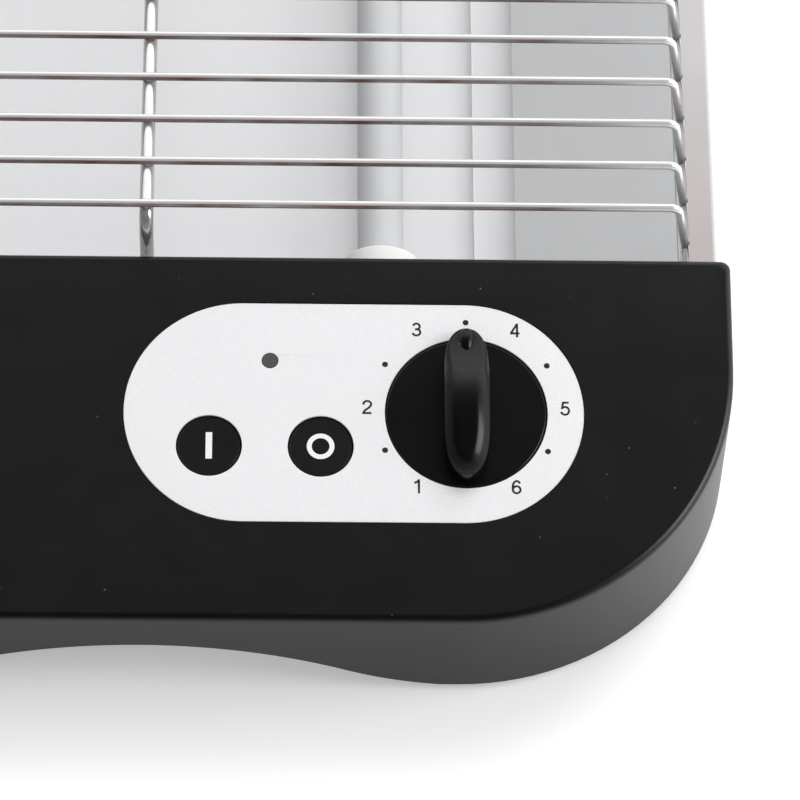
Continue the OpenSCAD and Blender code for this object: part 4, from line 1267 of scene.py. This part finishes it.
@dataclass
class Studio:
    """Pale floor, soft light and the camera at the photograph's angle."""

    focal_px: float = 5204.6
    image_px: float = 800.0
    sensor_mm: float = 36.0
    clip: tuple[float, float] = (0.01, 50.0)
    pitch_deg: float = 57.971
    roll_deg: float = -2.711
    yaw_deg: float = 2.611
    eye: tuple[float, float, float] = (0.02756, -0.7266, 0.96814)
    overhead: Colour = (0.05, 0.049, 0.05)
    bright: Colour = (1.03, 1.035, 1.05)
    bright_ahead: Ramp = Ramp(Axis.Y, 0.35, 0.48, 0.0, 1.0)
    bright_low: Ramp = Ramp(Axis.Z, 0.25, 0.6, 0.85, 0.0)
    dim_behind: Ramp = Ramp(Axis.Y, -0.8, 0.0, 0.4, 1.0)
    dim_left: Ramp = Ramp(Axis.X, -0.95, -0.5, 0.3, 1.0)
    fill: float = 0.52
    back: Softbox = Softbox("back_softbox", (0.55, 0.95, 1.3), (0.0, -0.08, 0.03), 1.1, 18.0, False)
    side: Softbox = Softbox("side_softbox", (1.25, -0.25, 0.85), (0.05, -0.12, 0.03), 0.8, 8.8, True)
    floor_half: float = 6.0
    floor_tones: tuple[Colour, Colour] = ((0.86, 0.86, 0.86), (0.87, 0.87, 0.87))
    floor_scale: float = 6.0
    floor_roughness: float = 0.9
    floor_specular: float = 0.1
    floor_glow: float = 0.32
    floor_shine: float = 0.14

    def build(self) -> None:
        """Sets up the view, the floor, the light and the camera."""
        bpy.context.scene.view_settings.view_transform = "Standard"
        self.add_camera()
        self.add_floor()
        self.add_world()
        self.back.hang()
        self.side.hang()

    def add_camera(self) -> None:
        """Places the camera from its pitch, yaw and roll."""
        pitch, roll, yaw = (math.radians(a) for a in (self.pitch_deg, self.roll_deg, self.yaw_deg))
        ahead = Vector((math.sin(yaw) * math.cos(pitch), math.cos(yaw) * math.cos(pitch), -math.sin(pitch)))
        level = Vector((math.cos(yaw), -math.sin(yaw), 0))
        plumb = ahead.cross(level)
        right = level * math.cos(roll) + plumb * math.sin(roll)
        down = plumb * math.cos(roll) - level * math.sin(roll)
        data = bpy.data.cameras.new("photo_camera")
        data.sensor_width = self.sensor_mm
        data.lens = self.sensor_mm * self.focal_px / self.image_px
        data.clip_start, data.clip_end = self.clip
        camera = bpy.data.objects.new("photo_camera", data)
        bpy.context.scene.collection.objects.link(camera)
        turn = Matrix((right, -down, -ahead)).transposed().to_4x4()
        camera.matrix_world = Matrix.Translation(self.eye) @ turn
        bpy.context.scene.camera = camera

    def add_floor(self) -> None:
        """Lays a wide pale floor that keeps the object's shadow and runs out to white."""
        builder = bmesh.new()
        bmesh.ops.create_grid(builder, x_segments=1, y_segments=1, size=self.floor_half)
        mesh = mesh_from(builder, "pale_floor")
        graph = Graph("pale_floor")
        tone = graph.blend(graph.spread(graph.noise(self.floor_scale)), *self.floor_tones)
        graph.shade(Base_Color=tone, Roughness=self.floor_roughness, Specular_IOR_Level=self.floor_specular)
        rays = graph.add("ShaderNodeLightPath").outputs
        direct = graph.reckon("MAXIMUM", rays["Is Camera Ray"], rays["Is Transmission Ray"])
        seen = graph.reckon("MULTIPLY", direct, self.floor_glow)
        glow = graph.reckon("MULTIPLY_ADD", rays["Is Glossy Ray"], self.floor_shine, seen)
        graph.shade(Emission_Color=WHITE, Emission_Strength=glow)
        mesh.materials.append(graph.material)
        floor = bpy.data.objects.new("pale_floor", mesh)
        bpy.context.scene.collection.objects.link(floor)

    def add_world(self) -> None:
        """Adds even light, and a room for reflections that is dimmer overhead, behind and left."""
        world = bpy.data.worlds.new("soft_room")
        bpy.context.scene.world = world
        world.use_nodes = True
        nodes = Nodes(world.node_tree)
        nodes.tree.nodes.clear()
        way = nodes.add("ShaderNodeTexCoord").outputs["Generated"]
        ahead, low, behind, left = (ramp.build(nodes, way) for ramp in (
            self.bright_ahead, self.bright_low, self.dim_behind, self.dim_left))
        room = nodes.blend(nodes.reckon("MAXIMUM", ahead, low), self.overhead, self.bright)
        dim = nodes.times(behind, left)
        soft, shine, white = (nodes.add("ShaderNodeBackground", *light).outputs[0]
                              for light in ((WHITE, self.fill), (room, dim), (WHITE, 1.0)))
        rays = nodes.add("ShaderNodeLightPath").outputs
        last = soft
        lights = {"Is Glossy Ray": shine, "Is Transmission Ray": white, "Is Camera Ray": white}
        for ray, light in lights.items():
            last = nodes.add("ShaderNodeMixShader", rays[ray], last, light).outputs[0]
        nodes.add("ShaderNodeOutputWorld", last)
        world.cycles.sampling_method = "NONE"


def main() -> None:
    """Builds the studio and every assembly in order."""
    logging.basicConfig(level=logging.INFO, format="%(name)s: %(message)s")
    shop = Workshop()
    Studio().build()
    EndHousings(shop).dress()
    plane = PanelPlane()
    ControlPanel(shop, plane).dress()
    TimerKnob(shop, plane).dress()
    Trough(shop).dress()
    Rack(shop).dress()
    HeatingTubes(shop).dress()
    Electronics(shop).dress()
    bpy.context.view_layer.update()


if __name__ == "__main__":
    main()
